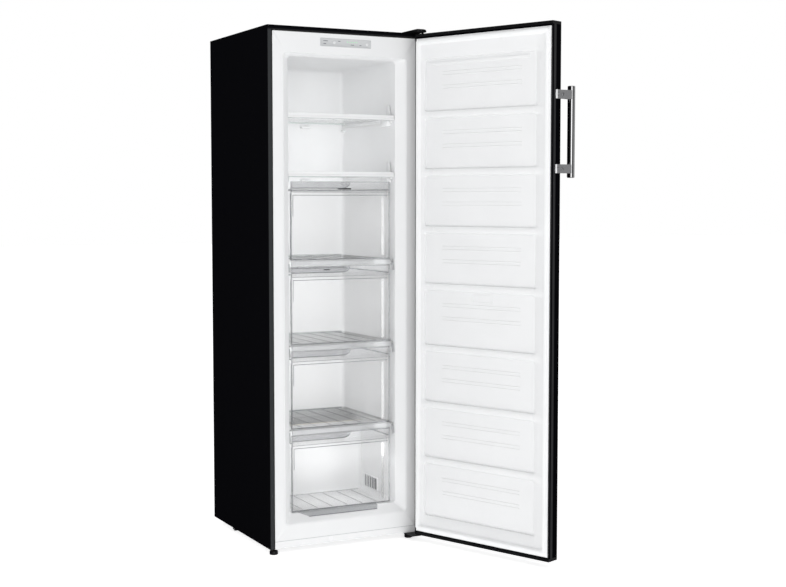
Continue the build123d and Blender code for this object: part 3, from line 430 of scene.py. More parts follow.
class Shape:
    """Collects rings and blocks into one mesh."""

    def __init__(self):
        self.mesh = bmesh.new()

    def rings(self, rings, cap_start=False, cap_end=False, closed=False):
        """Skins a run of rings that have the same number of points."""
        made = [[self.mesh.verts.new(point) for point in ring] for ring in rings]
        pairs = list(zip(made, made[1:]))
        if closed:
            pairs.append((made[-1], made[0]))
        for lower, upper in pairs:
            count = len(lower)
            for i in range(count):
                j = (i + 1) % count
                self.mesh.faces.new((lower[i], lower[j], upper[j], upper[i]))
        if cap_start:
            self.mesh.faces.new(list(reversed(made[0])))
        if cap_end:
            self.mesh.faces.new(made[-1])
        return self

    def sheet(self, rows):
        """Skins a run of open rows that have the same number of points."""
        made = [[self.mesh.verts.new(point) for point in row] for row in rows]
        for lower, upper in zip(made, made[1:]):
            for i in range(len(lower) - 1):
                self.mesh.faces.new((lower[i], lower[i + 1], upper[i + 1], upper[i]))
        return self

    def block(self, x0, x1, y0, y1, z0, z1, edge):
        """A block with softened edges: rings stacked upwards, drawn in at both ends."""
        radius = min(edge * 1.5, (x1 - x0) / 2.01, (y1 - y0) / 2.01)
        lift = min(edge, (z1 - z0) / 2.01)
        rings = []
        for inset, z in ((lift, z0), (lift * 0.3, z0 + lift * 0.3), (0, z0 + lift),
                         (0, z1 - lift), (lift * 0.3, z1 - lift * 0.3), (lift, z1)):
            inset = min(inset, radius * 0.9)
            rings.append(flat_ring(x0 + inset, x1 - inset, y0 + inset, y1 - inset,
                                   radius - inset * 0.9, z, 3))
        return self.rings(rings, True, True)

    def bar(self, profile, x0, x1):
        """A profile of (y, z) points run straight along x."""
        return self.rings([[(x, y, z) for y, z in profile] for x in (x0, x1)], True, True)

    def turn(self, matrix):
        bmesh.ops.transform(self.mesh, matrix=matrix, verts=self.mesh.verts)
        return self

    def join(self, other):
        """Takes in another shape."""
        passed = bpy.data.meshes.new("joined")
        other.mesh.to_mesh(passed)
        other.mesh.free()
        self.mesh.from_mesh(passed)
        bpy.data.meshes.remove(passed)

    def piece(self, name, material, body="cabinet", slot=None, replaces=(), smooth=40.0, bevel=0.0):
        """Finishes the mesh as an object in its place, riding on a body."""
        bmesh.ops.recalc_face_normals(self.mesh, faces=self.mesh.faces)
        data = bpy.data.meshes.new(name)
        self.mesh.to_mesh(data)
        self.mesh.free()
        data.transform(DOOR if body == "door" else CABINET)
        for polygon in data.polygons:
            polygon.use_smooth = True
        data.set_sharp_from_angle(angle=math.radians(smooth))
        obj = add_object(name, data)
        data.materials.append(M[material])
        if bevel:
            modifier = obj.modifiers.new("soft_edges", "BEVEL")
            modifier.width = bevel
            modifier.segments = 3
            modifier.limit_method = "ANGLE"
            modifier.angle_limit = math.radians(35)
            modifier.harden_normals = True
        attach(obj, body)
        if replaces:
            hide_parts(*replaces)


# --- Cabinet ---
liner_low, liner_high = cabinet_box("inner_liner")
LINER_EDGE = liner_high.x
SHEET = 0.002
STEP_HALF = HALF_WIDTH - 0.056
STEP_LOW, STEP_HIGH = BOTTOM + 0.08, TOP - 0.088
ROOM_HALF = HALF_WIDTH - 0.082
ROOM_FLOOR, ROOM_CEILING = BOTTOM + 0.107, TOP - 0.095
THROAT_Y = 0.028
ROOM_BACK = liner_high.y - SHEET
HUMP_FRONT, HUMP_TOP = 0.3, BOTTOM + 0.359
SUNK = 0.001  # how far an added piece reaches into what it sits on
ROOM_CORNER = 0.012
GROOVE = 0.0015
OPEN_SHELVES = 2
GLASS_BOXES = [cabinet_box(f"glass_shelf_{number}") for number in range(1, 6)]
DRAWER_HALF = cabinet_box("drawer_front_1")[1].x
TAB_WIDTH = 0.006
PANEL_MARKS = (  # x, width, height over the middle of the strip
    (-0.082, 0.016, 0.0046), (-0.082, 0.01, -0.0044), (0.018, 0.012, -0.005),
    (-0.028, 0.008, 0.0052), (0.05, 0.007, -0.005),
)
LAMP_COUNT, FIRST_LAMP, LAMP_PITCH = 5, 0.006, 0.0085


def liner_ring(y, half, low, high, radius):
    return front_ring(-half, half, low, high, radius, y, 8)


def throat_ring(share, inset=0.0, back=0.0):
    """A ring on the sloping throat, a share of the way in."""
    return liner_ring(
        liner_low.y + (THROAT_Y - liner_low.y) * share + back,
        STEP_HALF + (ROOM_HALF - STEP_HALF) * share + inset,
        STEP_LOW + (ROOM_FLOOR - STEP_LOW) * share - inset,
        STEP_HIGH + (ROOM_CEILING - STEP_HIGH) * share + inset,
        ROOM_CORNER,
    )


def flange_ring(back, grow, radius):
    """A ring on the flange, just outside the step into the throat."""
    return liner_ring(liner_low.y + back, STEP_HALF + grow, STEP_LOW - grow, STEP_HIGH + grow, radius)


def room_ring(y, inset, radius=ROOM_CORNER):
    return liner_ring(y, ROOM_HALF - inset, ROOM_FLOOR + inset, ROOM_CEILING - inset, radius)


def make_liner():
    """The white liner: flange, stepped throat, straight walls, and the step over the compressor."""
    front, low, high = liner_low.y, liner_low.z, liner_high.z
    rim = 0.0006
    liner = Shape()
    liner.rings([
        liner_ring(front + SHEET, LINER_EDGE, low, high, 0.003),
        liner_ring(front + rim, LINER_EDGE, low, high, 0.003),
        liner_ring(front, LINER_EDGE - rim, low + rim, high - rim, 0.003),
        flange_ring(0.0, 0.0045, 0.016),
        flange_ring(GROOVE, 0.0036, 0.0155),
        flange_ring(GROOVE, 0.0022, 0.014),
        throat_ring(0.0, 0.0012, -0.0002),
        throat_ring(0.02, 0.0002, 0.0002),
        throat_ring(0.06),
        throat_ring(0.94),
        throat_ring(0.985, -0.0002, 0.0),
        throat_ring(1.0, -0.0001, 0.0012),
        room_ring(THROAT_Y + 0.003, 0.0),
        room_ring(ROOM_BACK - 0.012, 0.0),
        room_ring(ROOM_BACK - 0.004, 0.003),
        room_ring(ROOM_BACK, 0.01, 0.01),
    ], cap_end=True)
    overlap = 0.012
    liner.block(-ROOM_HALF - overlap, ROOM_HALF + overlap, HUMP_FRONT, ROOM_BACK + overlap,
                ROOM_FLOOR - overlap, HUMP_TOP, 0.008)
    for glass_low, glass_high in GLASS_BOXES:
        for x0, x1 in both_sides(ROOM_HALF + SUNK, ROOM_HALF - 0.009):
            liner.block(x0, x1, glass_low.y + 0.004, glass_high.y, glass_low.z - 0.012, glass_low.z, 0.002)
    liner.piece("liner_shell", "white_liner", replaces=["inner_liner"])


def make_brackets():
    """White brackets on the walls: under the open shelves, and at the front of each drawer shelf."""
    brackets = Shape()
    wall, back, edge = ROOM_HALF + SUNK, ROOM_BACK + SUNK, 0.002
    for number, (_, high) in enumerate(GLASS_BOXES, start=1):
        top = high.z
        seat = top - 0.0045
        if number > OPEN_SHELVES:
            for x0, x1 in both_sides(wall, ROOM_HALF - 0.0115):
                brackets.block(x0, x1, 0.044, 0.075, top - 0.018, seat, edge)
            continue
        for x0, x1 in both_sides(wall, ROOM_HALF - 0.016):
            brackets.block(x0, x1, 0.058, 0.108, top - 0.027, seat, edge)
        for x0, x1 in both_sides(wall, ROOM_HALF - 0.01):
            brackets.block(x0, x1, ROOM_BACK - 0.02, back, top - 0.031, top - 0.023, edge)
        for x in (-0.062, 0.026):
            brackets.block(x, x + 0.036, ROOM_BACK - 0.014, back, top - 0.021, top - 0.013, edge)
    brackets.piece("wall_brackets", "white_trim")


def make_struts():
    """A slanting strut below each drawer shelf, on both walls."""
    struts = Shape()
    for _, high in GLASS_BOXES[OPEN_SHELVES:]:
        upper, lower = high.z - 0.01, high.z - 0.038
        slant = [(0.04, upper), (0.0435, upper), (0.035, lower), (0.0315, lower)]
        for x0, x1 in both_sides(ROOM_HALF + SUNK, ROOM_HALF - 0.008):
            struts.bar(slant, x0, x1)
    struts.piece("runner_struts", "runner_and_shade_grey", slot="white_trim")


def make_grille_slot_shade():
    """Painted shade for the vent grille's air slots: thin dark blocks on its face where the slots are."""
    low, high = cabinet_box("vent_grille")
    slots = Shape()
    count, width, margin = 7, 0.0062, 0.007
    pitch = (high.y - low.y - 2 * margin) / count
    for slot in range(count):
        y = low.y + margin + (slot + 0.5) * pitch - width / 2
        # painted shade: a dark block where each slot opens
        slots.block(low.x - 0.0002, low.x + 0.003, y, y + width, low.z + 0.003, high.z - 0.003, 0.0003)
    slots.piece("grille_slot_shade", "slot_dark", slot="black_plastic")


def make_plinth_joint():
    """The joint line between the liner's flange and the plinth."""
    front, z = liner_low.y, liner_low.z
    joint = Shape()
    joint.block(-LINER_EDGE, LINER_EDGE, front - 0.0002, front + 0.002, z - 0.0006, z + 0.0008, 0.0002)
    joint.piece("plinth_joint", "runner_and_shade_grey", slot="white_trim")


def make_flange_gap_shade():
    """A black strip painted as shade in the gap between the shell's folded edge and the white flange."""
    seal = Shape()
    fold, edge = 0.0135, 0.0003
    outer, high = HALF_WIDTH - fold, TOP - fold
    near = liner_low.y + 0.0012
    far = near + 0.0012
    for x0, x1 in both_sides(outer, LINER_EDGE - SUNK):
        seal.block(x0, x1, near, far, BOTTOM + 0.0005, high, edge)
    seal.block(-outer, outer, near, far, liner_high.z - SUNK, high, edge)
    # painted shade: black strips fill the gap where it lies in shadow
    seal.piece("flange_gap_shade", "rubber_black")


def make_shelves():
    """Shelf trims: white with an upstand, a painted shade line along the lower front edge and end tabs on the
    open shelves, frosted below them.
    """
    for number, (low, high) in enumerate(GLASS_BOXES, start=1):
        trim_low, trim_high = cabinet_box(f"shelf_trim_{number}")
        y, top = trim_low.y, high.z
        is_open = number <= OPEN_SHELVES
        half = trim_high.x if is_open else DRAWER_HALF
        base = top - 0.0075 if is_open else trim_low.z
        trim = Shape()
        trim.bar([
            (y + 0.0012, base), (trim_high.y, base), (trim_high.y, top), (y + 0.003, top),
            (y + 0.0012, top - 0.0006), (y + 0.0003, top - 0.0018), (y, top - 0.0035),
            (y, base + 0.003), (y + 0.0003, base + 0.0012),
        ], -half, half)
        if is_open:
            tab = [(y, top - 0.001), (y + 0.025, top + 0.012), (y + 0.034, top + 0.043),
                   (y + 0.036, top + 0.045), (y + 0.0485, top + 0.045), (y + 0.05, top + 0.0435),
                   (y + 0.05, top - 0.001)]
            for x0, x1 in both_sides(half, half - TAB_WIDTH):
                trim.bar(tab, x0, x1)
        trim.piece(f"shelf_front_{number}", "white_trim" if is_open else "frosted",
                   slot="white_trim", replaces=[f"shelf_trim_{number}"], bevel=0.0008)
        if is_open:
            upstand = Shape().block(-half, half, y + 0.002, y + 0.005, top - 0.001, top + 0.0092, 0.001)
            upstand.piece(f"shelf_upstand_{number}", "white_trim")
            # painted shade: a grey strip along the trim's lower front edge, where it lies in shadow
            lip = Shape().block(-half + 0.001, half - TAB_WIDTH, y + 0.0006, y + 0.004, base - 0.0008,
                                base + 0.001, 0.0004)
            lip.piece(f"shelf_shade_line_{number}", "runner_and_shade_grey", slot="white_trim")
        ground = Shape().block(-half + 0.002, half - 0.002, high.y - 0.0035, high.y - 0.0001,
                               low.z - 0.0002, high.z + 0.0002, 0.001)
        ground.piece(f"shelf_back_edge_{number}", "glass_edge", slot="shelf_glass")


def make_controls():
    """The control strip, and the marks and lamps on it."""
    low, high = cabinet_box("control_panel")
    middle, front = (low.z + high.z) / 2, low.y
    strip = Shape()
    strip.rings([
        front_ring(low.x + inset, high.x - inset, low.z + inset, high.z - inset, corner, y)
        for inset, corner, y in (
            (0.0, 0.003, high.y), (0.0, 0.003, front + 0.0006), (0.0006, 0.003, front),
            (0.003, 0.002, front), (0.0033, 0.002, front + 0.0002))
    ], cap_end=True)
    strip.piece("control_strip", "grey_panel", replaces=["control_panel"])
    marks = Shape()
    for x, width, up in PANEL_MARKS:
        marks.block(x, x + width, front - 0.0002, front + 0.0003, middle + up - 0.0009,
                    middle + up + 0.0009, 0.0001)
    marks.piece("panel_marks", "panel_mark", slot="grey_panel")
    lamps = Shape()
    for step in range(LAMP_COUNT):
        x = FIRST_LAMP + step * LAMP_PITCH
        lamps.block(x - 0.0012, x + 0.0012, front - 0.0004, front + 0.0003, middle + 0.0028,
                    middle + 0.0052, 0.0002)
    lamps.piece("panel_lamps", "led_green", slot="button_white")


def make_buttons():
    """The caps of the two buttons, slightly dished."""
    panel_low, panel_high = cabinet_box("control_panel")
    middle = (panel_low.z + panel_high.z) / 2
    for button in ("temperature_button", "fast_freeze_button"):
        low, high = cabinet_box(button)
        x, radius = (low.x + high.x) / 2, (high.x - low.x) / 2
        cap = Shape()
        cap.rings([
            [(px, y, pz) for px, pz, _ in round_ring(x, middle, 0, radius - inset, 40)]
            for inset, y in (
                (0.0, high.y), (0.0, low.y + 0.0008), (0.0003, low.y + 0.0002), (0.0009, low.y),
                (0.0026, low.y + 0.0002), (0.004, low.y + 0.0004))
        ], True, True)
        cap.piece(f"{button}_cap", "button_white", button, replaces=[button])


def make_hinge_cover():
    """The black cover over the top hinge: a hollow cap with a domed top."""
    low, high = cabinet_box("top_hinge_cover")
    cover = Shape()
    cover.rings([
        flat_ring(low.x + inset, high.x - inset, low.y + inset, high.y - inset, corner, z)
        for inset, corner, z in (
            (0.0, 0.01, low.z), (0.0, 0.01, low.z + 0.007), (0.0008, 0.01, high.z - 0.0035),
            (0.0022, 0.01, high.z - 0.0012), (0.005, 0.009, high.z - 0.0002), (0.012, 0.006, high.z))
    ], cap_end=True)
    cover.rings([
        flat_ring(low.x + 0.002, high.x - gap, low.y + 0.002, high.y - 0.002, 0.009, z)
        for gap, z in ((0.0006, low.z), (0.0016, high.z - 0.003))
    ], cap_end=True)
    cover.piece("hinge_cover", "black_plastic", replaces=["top_hinge_cover"])


def make_feet():
    """Front levelling feet: a pad with a knurled collar and a threaded stem."""
    notches, pitch, stem = 12, 0.00125, 0.004
    for foot in ("front_left_foot", "front_right_foot"):
        low, high = cabinet_box(foot)
        x, y = (low.x + high.x) / 2, (low.y + high.y) / 2
        radius = (high.x - low.x) / 2
        stem_base = 0.013
        pad = Shape()
        pad.rings([round_ring(x, y, z, radius - inset, 48) for inset, z in (
            (0.0022, 0.0), (0.0008, 0.0006), (0.0002, 0.002), (0.0, 0.004), (0.0, 0.0105),
            (0.0008, 0.0125), (0.003, stem_base))], True, True)
        for notch in range(notches):
            angle = notch * 2 * math.pi / notches
            rib = Shape().block(radius - 0.0012, radius - 0.0001, -0.0012, 0.0012, 0.0045, 0.0102, 0.0003)
            pad.join(rib.turn(Matrix.Translation((x, y, 0)) @ Matrix.Rotation(angle, 4, "Z")))
        thread = []
        for turn in range(int((high.z - stem_base) / pitch)):
            z = stem_base + turn * pitch
            thread.append(round_ring(x, y, z, stem - 0.0006, 24))
            thread.append(round_ring(x, y, z + pitch / 2, stem - 0.00002, 24))
        pad.rings(thread, True, True)
        pad.piece(f"{foot}_pad", "black_plastic", foot, replaces=[foot])


# --- Drawers ---
DRAWERS = (1, 2, 3, 4)
LOWEST_DRAWER = 4
GRIP_BAND = 0.042
BAND_BULGE = 0.004
RIM = 0.004
TAPER = 0.004
SKIN = 0.003
HAIRLINE = 0.0003
CHANNEL_END = 0.035
CHANNEL_SWEEP = 0.03
CHANNEL_STEPS = 10
BEAD_RADIUS = 0.0011
LIP_LEFT, LIP_RIGHT = -0.168, 0.128
MARKS = {1: (-0.01, 0.04, 0.0225, 0.0055), 2: (-0.062, -0.04, 0.012, 0.004)}  # x0, x1, down, height
FLOOR_RIBS = 6


class Drawer:
    """One clear drawer's measures in cabinet axes, and its pieces."""

    def __init__(self, number):
        self.number = number
        bin_low, bin_high = cabinet_box(f"drawer_bin_{number}")
        front_low, front_high = cabinet_box(f"drawer_front_{number}")
        self.half = bin_high.x
        self.y0, self.y1, self.z0, self.z1 = bin_low.y, bin_high.y, bin_low.z, bin_high.z
        self.face, self.back = front_high.y - SKIN, front_high.y
        self.low, self.high = front_low.z, front_high.z
        self.band = self.high - GRIP_BAND
        self.window_top = self.band - 0.006

    def piece(self, shape, name, material, **more):
        """Finishes a shape as one of this drawer's pieces."""
        name = f"drawer_{name}_{self.number}"
        shape.piece(name, material, f"drawer_{self.number}", slot="clear_plastic", **more)

    def tub(self):
        """The bin, with a rolled rim and rounded floor edges."""
        tub = Shape()
        tub.rings([
            flat_ring(-self.half + inset, self.half - inset, self.y0, self.y1 - inset, radius, z, 5)
            for inset, z, radius in (
                (0.0006, self.z1 - 0.005, 0.016),
                (0, self.z1 - 0.0044, 0.016),
                (0, self.z1 - 0.001, 0.016),
                (0.001, self.z1, 0.016),
                (RIM - 0.0005, self.z1, 0.013),
                (RIM + 0.0005, self.z1 - 0.0012, 0.013),
                (RIM + TAPER, self.z0 + 0.01, 0.013),
                (RIM + TAPER + 0.0015, self.z0 + 0.0045, 0.012),
                (RIM + TAPER + 0.006, self.z0 + 0.0015, 0.01),
                (RIM + TAPER + 0.012, self.z0 + 0.0008, 0.006),
            )
        ], cap_end=True)
        self.piece(tub, "tub", "clear_plastic", replaces=[f"drawer_bin_{self.number}"])

    def front(self):
        """The front: a flat window under a hollow grip band."""
        face, back, low, high, band = self.face, self.back, self.low, self.high, self.band
        ledge, steps = band + 0.0135, 12
        profile = [
            (back, low), (face + 0.0008, low), (face, low + 0.0008), (face, band - 0.002),
            (face - 0.0006, band), (face - 0.0062, band + 0.0042), (face - 0.007, band + 0.0058),
            (face - 0.007, band + 0.0115), (face - 0.006, ledge),
        ]
        for step in range(1, steps):
            share = step / steps
            profile.append((face - 0.006 + BAND_BULGE * math.sin(math.pi * share),
                            ledge + (GRIP_BAND - 0.0175) * share))
        profile += [(face - 0.0062, high - 0.003), (face - 0.0058, high - 0.0012),
                    (face - 0.0044, high), (back, high)]
        front = Shape()
        front.sheet([[(x, y, z) for y, z in profile] for x in (-self.half, self.half)])
        self.piece(front, "face", "clear_plastic", replaces=[f"drawer_front_{self.number}"], smooth=28)

    def rims(self):
        """The thicker edges of the front and of the bin, which read grey."""
        half, face, back, low, high = self.half, self.face, self.back, self.low, self.high
        soft, thin = 0.0012, 0.0008
        rim_low, rim_high = self.z1 - 0.0048, self.z1 - 0.0008
        rims = Shape()
        for x0, x1 in both_sides(half, half - 0.0045):
            rims.block(x0, x1, face - 0.003, back, low + 0.001, high - 0.001, soft)
        rims.block(-half + RIM, half - RIM, face - 0.003, face + 0.0008, low + 0.0004, low + 0.004, soft)
        rims.block(-half + RIM, half - RIM, face - 0.0068, back, high - 0.0044, high - 0.0006, soft)
        rims.block(-half + RIM, half - RIM, self.y1 - RIM - 0.002, self.y1 - RIM, rim_low, rim_high, thin)
        for x0, x1 in both_sides(half - 0.0006, half - RIM):
            rims.block(x0, x1, self.y0 + 0.002, self.y1 - 0.01, rim_low, rim_high, thin)
        self.piece(rims, "rims", "clear_rim")

    def lines(self):
        """The thin dark lines where the front's skin folds."""
        half, face, back, low = self.half, self.face, self.back, self.low
        window, fold = self.window_top, self.band + 0.005
        near, far, inner = face - 0.001, face + 0.0006, half - 0.0085
        lines = Shape()
        for x0, x1, y0, y1, z0, z1 in (
            (-inner, inner, near, far, window, window + 0.0017),
            (-inner, -inner + 0.0014, near, far, window - 0.07, window),
            (-half + 0.002, half - 0.002, face - 0.0072, face - 0.006, fold, fold + 0.0012),
            (-half, half, face - 0.0012, back, low + 0.0002, low + 0.0012),
            (-half, -half + 0.001, near, back, low + 0.002, self.band),
        ):
            lines.block(x0, x1, y0, y1, z0, z1, HAIRLINE)
        self.piece(lines, "lines", "clear_line")

    def channel(self):
        """The hollow behind the grip band, its end swept up, with a bead along its lower edge. The hollow's
        sheet is tinted dark grey as painted shade.
        """
        half, back = self.half, self.back
        band = Shape()
        band.sheet([[(x, back + 0.0012, self.band + 0.004), (x, back + 0.0012, self.high - 0.002)]
                    for x in (-half + RIM, half - RIM)])
        self.piece(band, "band", "clear_band")
        floor, roof = self.high - 0.0235, self.high - 0.0045
        shares = [0.0] + [step / CHANNEL_STEPS for step in range(CHANNEL_STEPS + 1)]
        rows, beads = [], []
        for index, share in enumerate(shares):
            x = CHANNEL_END - CHANNEL_SWEEP * (1 - share) if index else -half + 0.005
            lower = floor + (roof - floor - 0.002) * (1 - math.sqrt(1 - share * share))
            rows.append([(x, back + 0.0006, lower), (x, back + 0.0006, roof)])
            beads.append([(x, back - 0.0002 + BEAD_RADIUS * math.cos(a), lower + BEAD_RADIUS * math.sin(a))
                          for a in (math.pi / 4 * corner for corner in range(8))])
        # painted shade: the dark grey tint of the hollow's sheet
        self.piece(Shape().sheet(rows), "channel", "clear_channel")
        self.piece(Shape().rings(beads, True, True), "bead", "clear_line")

    def marks(self):
        """A whitish strip near the right end of the window, a painted highlight on the rounded corner, and a
        small dark mark on the upper two bands.
        """
        # painted highlight: a whitish strip where the rounded corner would catch light
        corner = Shape().block(0.153, 0.163, self.face + 0.0005, self.back, self.low + 0.012,
                               self.window_top - 0.004, 0.001)
        self.piece(corner, "corner", "corner_highlight")
        if self.number in MARKS:
            x0, x1, down, height = MARKS[self.number]
            top = self.high - down
            mark = Shape().block(x0, x1, self.back + 0.0004, self.back + 0.0016, top - height, top, 0.0004)
            self.piece(mark, "mark", "slot_dark")

    def lip(self):
        """The sloping lip below the lowest drawer."""
        run = ((0.04, 0.0005, 0.0), (0.026, -0.0002, 0.002), (0.02, -0.0045, 0.012),
               (0.016, -0.0095, 0.026), (0.013, -0.0132, 0.034))  # y, height over the front's foot, inset
        lip = Shape()
        lip.sheet([[(LIP_LEFT + inset, y, self.low + up), (LIP_RIGHT - inset * 0.2, y, self.low + up)]
                   for y, up, inset in run])
        lip.piece("drawer_lip", "clear_channel", f"drawer_{self.number}", slot="clear_plastic")
        edge = Shape().block(LIP_LEFT + 0.034, LIP_RIGHT - 0.007, 0.012, 0.014, self.low - 0.014,
                             self.low - 0.0124, 0.0005)
        edge.piece("drawer_lip_edge", "clear_line", f"drawer_{self.number}", slot="clear_plastic")

    def ribs(self):
        """Ribs along the bin's floor, and one across its back."""
        half, floor, edge = self.half, self.z0 + 0.0008, 0.0006
        ribs = Shape()
        for rib in range(FLOOR_RIBS):
            x = -half + 0.045 + (2 * half - 0.09) * rib / (FLOOR_RIBS - 1)
            ribs.block(x - 0.0011, x + 0.0011, self.y0 + 0.012, self.y1 - 0.03, floor, floor + 0.0026, edge)
        ribs.block(-half + 0.012, half - 0.012, self.y1 - 0.022, self.y1 - 0.019, floor, floor + 0.003, edge)
        self.piece(ribs, "ribs", "clear_rib")


def make_drawer(number):
    """A clear drawer: a bin with a rolled rim and floor ribs, and a front with a grip band."""
    drawer = Drawer(number)
    drawer.tub()
    drawer.front()
    drawer.rims()
    drawer.lines()
    drawer.channel()
    drawer.marks()
    if number == LOWEST_DRAWER:
        drawer.lip()
    drawer.ribs()


# --- Door ---
POCKET_LEFT, POCKET_RIGHT, POCKET_TOP = -0.23, 0.242, BOTTOM + 1.627
POCKET_HEIGHTS = (0.176, 0.173, 0.173, 0.173, 0.19, 0.173, 0.173, 0.183)
POCKET_GAP = 0.0195
POCKET_DEPTH = 0.0054
POCKET_SECTION = (  # inset at the hinge side, top and bottom; inset at the free side; depth; corner
    (0.0, 0.0, 0.0, 0.01), (0.0005, 0.0006, 0.0005, 0.01), (0.0009, 0.004, 0.0016, 0.0098),
    (0.0016, 0.012, 0.0052, 0.0096), (0.0024, 0.015, 0.0068, 0.0094),
    (0.0036, 0.0164, 0.0066, 0.009), (0.0048, 0.0178, 0.0056, 0.0086),
    (0.008, 0.021, POCKET_DEPTH, 0.008),
)
POCKET_STEPS = 8
POCKET_LINES = (0.047, 0.058, 0.092, 0.103)  # below the pocket's top
LABEL_FRAME = (-0.046, 0.034, BOTTOM + 0.818, BOTTOM + 0.842)
WELD_GAP = 0.00002
GASKET_WIDTH = 0.02
GASKET_PROFILE = (  # share of the width from the outer edge, share of the rise
    (0.00, 0.0), (0.02, 0.16), (0.1, 0.24), (0.13, 0.34), (0.08, 0.44), (0.1, 0.56),
    (0.18, 0.66), (0.2, 0.78), (0.22, 0.92), (0.28, 1.0), (0.72, 1.0), (0.78, 0.92),
    (0.8, 0.76), (0.84, 0.66), (0.92, 0.58), (0.94, 0.44), (0.88, 0.36), (0.92, 0.24),
    (1.00, 0.14), (1.00, 0.0),
)


def pocket_places():
    """Top and bottom of every pocket, from the top of the door downwards."""
    top, places = POCKET_TOP, []
    for height in POCKET_HEIGHTS:
        places.append((top, top - height))
        top -= height + POCKET_GAP
    return places


def pocket_border(pocket, face, x_ends, z_ends):
    """A pocket's outline pushed out straight to the edges of its share of the door's face."""
    border = []
    quarter = len(pocket) // 4
    for index, (x, _, z) in enumerate(pocket):
        corner = index // quarter
        share = (index % quarter) / (quarter - 1)
        far_x = x_ends[1] if corner in (0, 3) else x_ends[0]
        far_z = z_ends[1] if corner in (0, 1) else z_ends[0]
        sideways = share <= 0.5 if corner in (0, 2) else share >= 0.5
        if sideways:
            border.append((far_x, face, z if abs(share - 0.5) > 0.01 else far_z))
        else:
            border.append((x, face, far_z))
    return border


def pocket_details(liner, face):
    """Raised lines in the pockets, ticks between them, a bar in the first and a frame in the fifth."""
    floor = face - POCKET_DEPTH
    sunk = floor - 0.0008
    for number, (top, _) in enumerate(pocket_places()):
        for drop in POCKET_LINES:
            liner.block(-0.159, 0.165, sunk, floor + 0.001, top - drop - 0.0016, top - drop + 0.0016, 0.0008)
        if not number:
            liner.block(-0.19, 0.226, sunk, floor + 0.0018, top - 0.024, top - 0.012, 0.001)
            continue
        for x in (-0.214, 0.198):
            liner.block(x, x + 0.009, face - 0.0004, face + 0.0009, top + 0.002, top + POCKET_GAP - 0.002,
                        HAIRLINE)
    x0, x1, z0, z1 = LABEL_FRAME
    line = 0.0016
    for left, right, low, high in ((x0, x1, z0, z0 + line), (x0, x1, z1 - line, z1),
                                   (x0, x0 + line, z0, z1), (x1 - line, x1, z0, z1)):
        liner.block(left, right, sunk, floor + 0.0012, low, high, 0.0004)
    liner.block(-0.092, -0.076, face - 0.0005, face + 0.001, BOTTOM + 1.662, BOTTOM + 1.678, 0.0006)


def make_door_liner():
    """The door's inner skin: eight shallow pockets, steep towards the hinge and easy towards the edge."""
    low, high = shut_box("door_liner")
    face = high.y - SUNK
    liner = Shape()
    places = pocket_places()
    upper = high.z
    for number, (z1, z0) in enumerate(places, start=1):
        cell_low = low.z if number == len(places) else z0 - POCKET_GAP / 2
        rings = [
            [(x, face - depth, z) for x, z in rounded_loop(
                POCKET_LEFT + free_side, POCKET_RIGHT - inset, z0 + inset, z1 - inset, corner, POCKET_STEPS)]
            for inset, free_side, depth, corner in POCKET_SECTION
        ]
        border = pocket_border(rings[0], face, (low.x, high.x), (cell_low, upper))
        liner.rings([border, *rings], cap_end=True)
        upper = cell_low
    bmesh.ops.remove_doubles(liner.mesh, verts=liner.mesh.verts, dist=WELD_GAP)
    pocket_details(liner, face)
    liner.piece("door_inner_skin", "white_liner", "door", replaces=["door_liner"], smooth=50)


def make_door_edges():
    """A dark groove down both edges of the door, between its inner skin and its grey trim."""
    low, high = shut_box("door_side_trims")
    groove = Shape()
    for x0, x1 in both_sides(HALF_WIDTH + 0.0003, HALF_WIDTH - 0.003):
        groove.block(x0, x1, high.y - 0.008, high.y - 0.0002, low.z, high.z, HAIRLINE)
    groove.piece("door_edge_grooves", "door_black", "door", slot="black_plastic")


def make_cap_lips():
    """The thin black lips of the door's caps, above and below its inner skin."""
    low, high = shut_box("door_liner")
    face = high.y - SUNK
    half = HALF_WIDTH - 0.0005
    lips = Shape()
    for z0, z1 in ((low.z, low.z + 0.004), (high.z - 0.006, high.z)):
        lips.block(-half, half, face - 0.0004, face + 0.0008, z0, z1, 0.0004)
    lips.piece("door_cap_lips", "door_black", "door", slot="black_plastic")


def make_gasket():
    """The door gasket: a bellows profile with a flat magnet pocket, run round the door."""
    low, high = shut_box("door_gasket")
    base, rise = low.y, high.y - low.y
    margin = Vector((0.003, 0, 0.008))
    low, high = low + margin, high - margin
    gasket = Shape()
    rings = []
    for across, up in GASKET_PROFILE:
        inset = across * GASKET_WIDTH
        rings.append(front_ring(low.x + inset, high.x - inset, low.z + inset, high.z - inset,
                                max(0.003, 0.01 - inset * 0.35), base + up * rise, 5))
    gasket.rings(rings, closed=True)
    gasket.piece("door_seal", "gasket_white", "door", replaces=["door_gasket"], smooth=30)


def make_handle():
    """The bar handle on the free edge, on two brackets."""
    low, high = shut_box("handle_bar")
    x, y = (low.x + high.x) / 2, (low.y + high.y) / 2
    radius = (high.x - low.x) / 2
    rims = ((0.004, 0.0), (0.0015, 0.0004), (0.0004, 0.0014), (0.0, 0.003))
    levels = [(inset, low.z + up) for inset, up in rims]
    levels += [(inset, high.z - up) for inset, up in reversed(rims)]
    bar = Shape().rings([round_ring(x, y, z, radius - inset, 64) for inset, z in levels], True, True)
    bar.piece("handle_tube", "handle_polish", "door", slot="handle_steel", replaces=["handle_bar"], smooth=35)
    for bracket in ("upper_handle_bracket", "lower_handle_bracket"):
        make_bracket(bracket, x, y, radius)


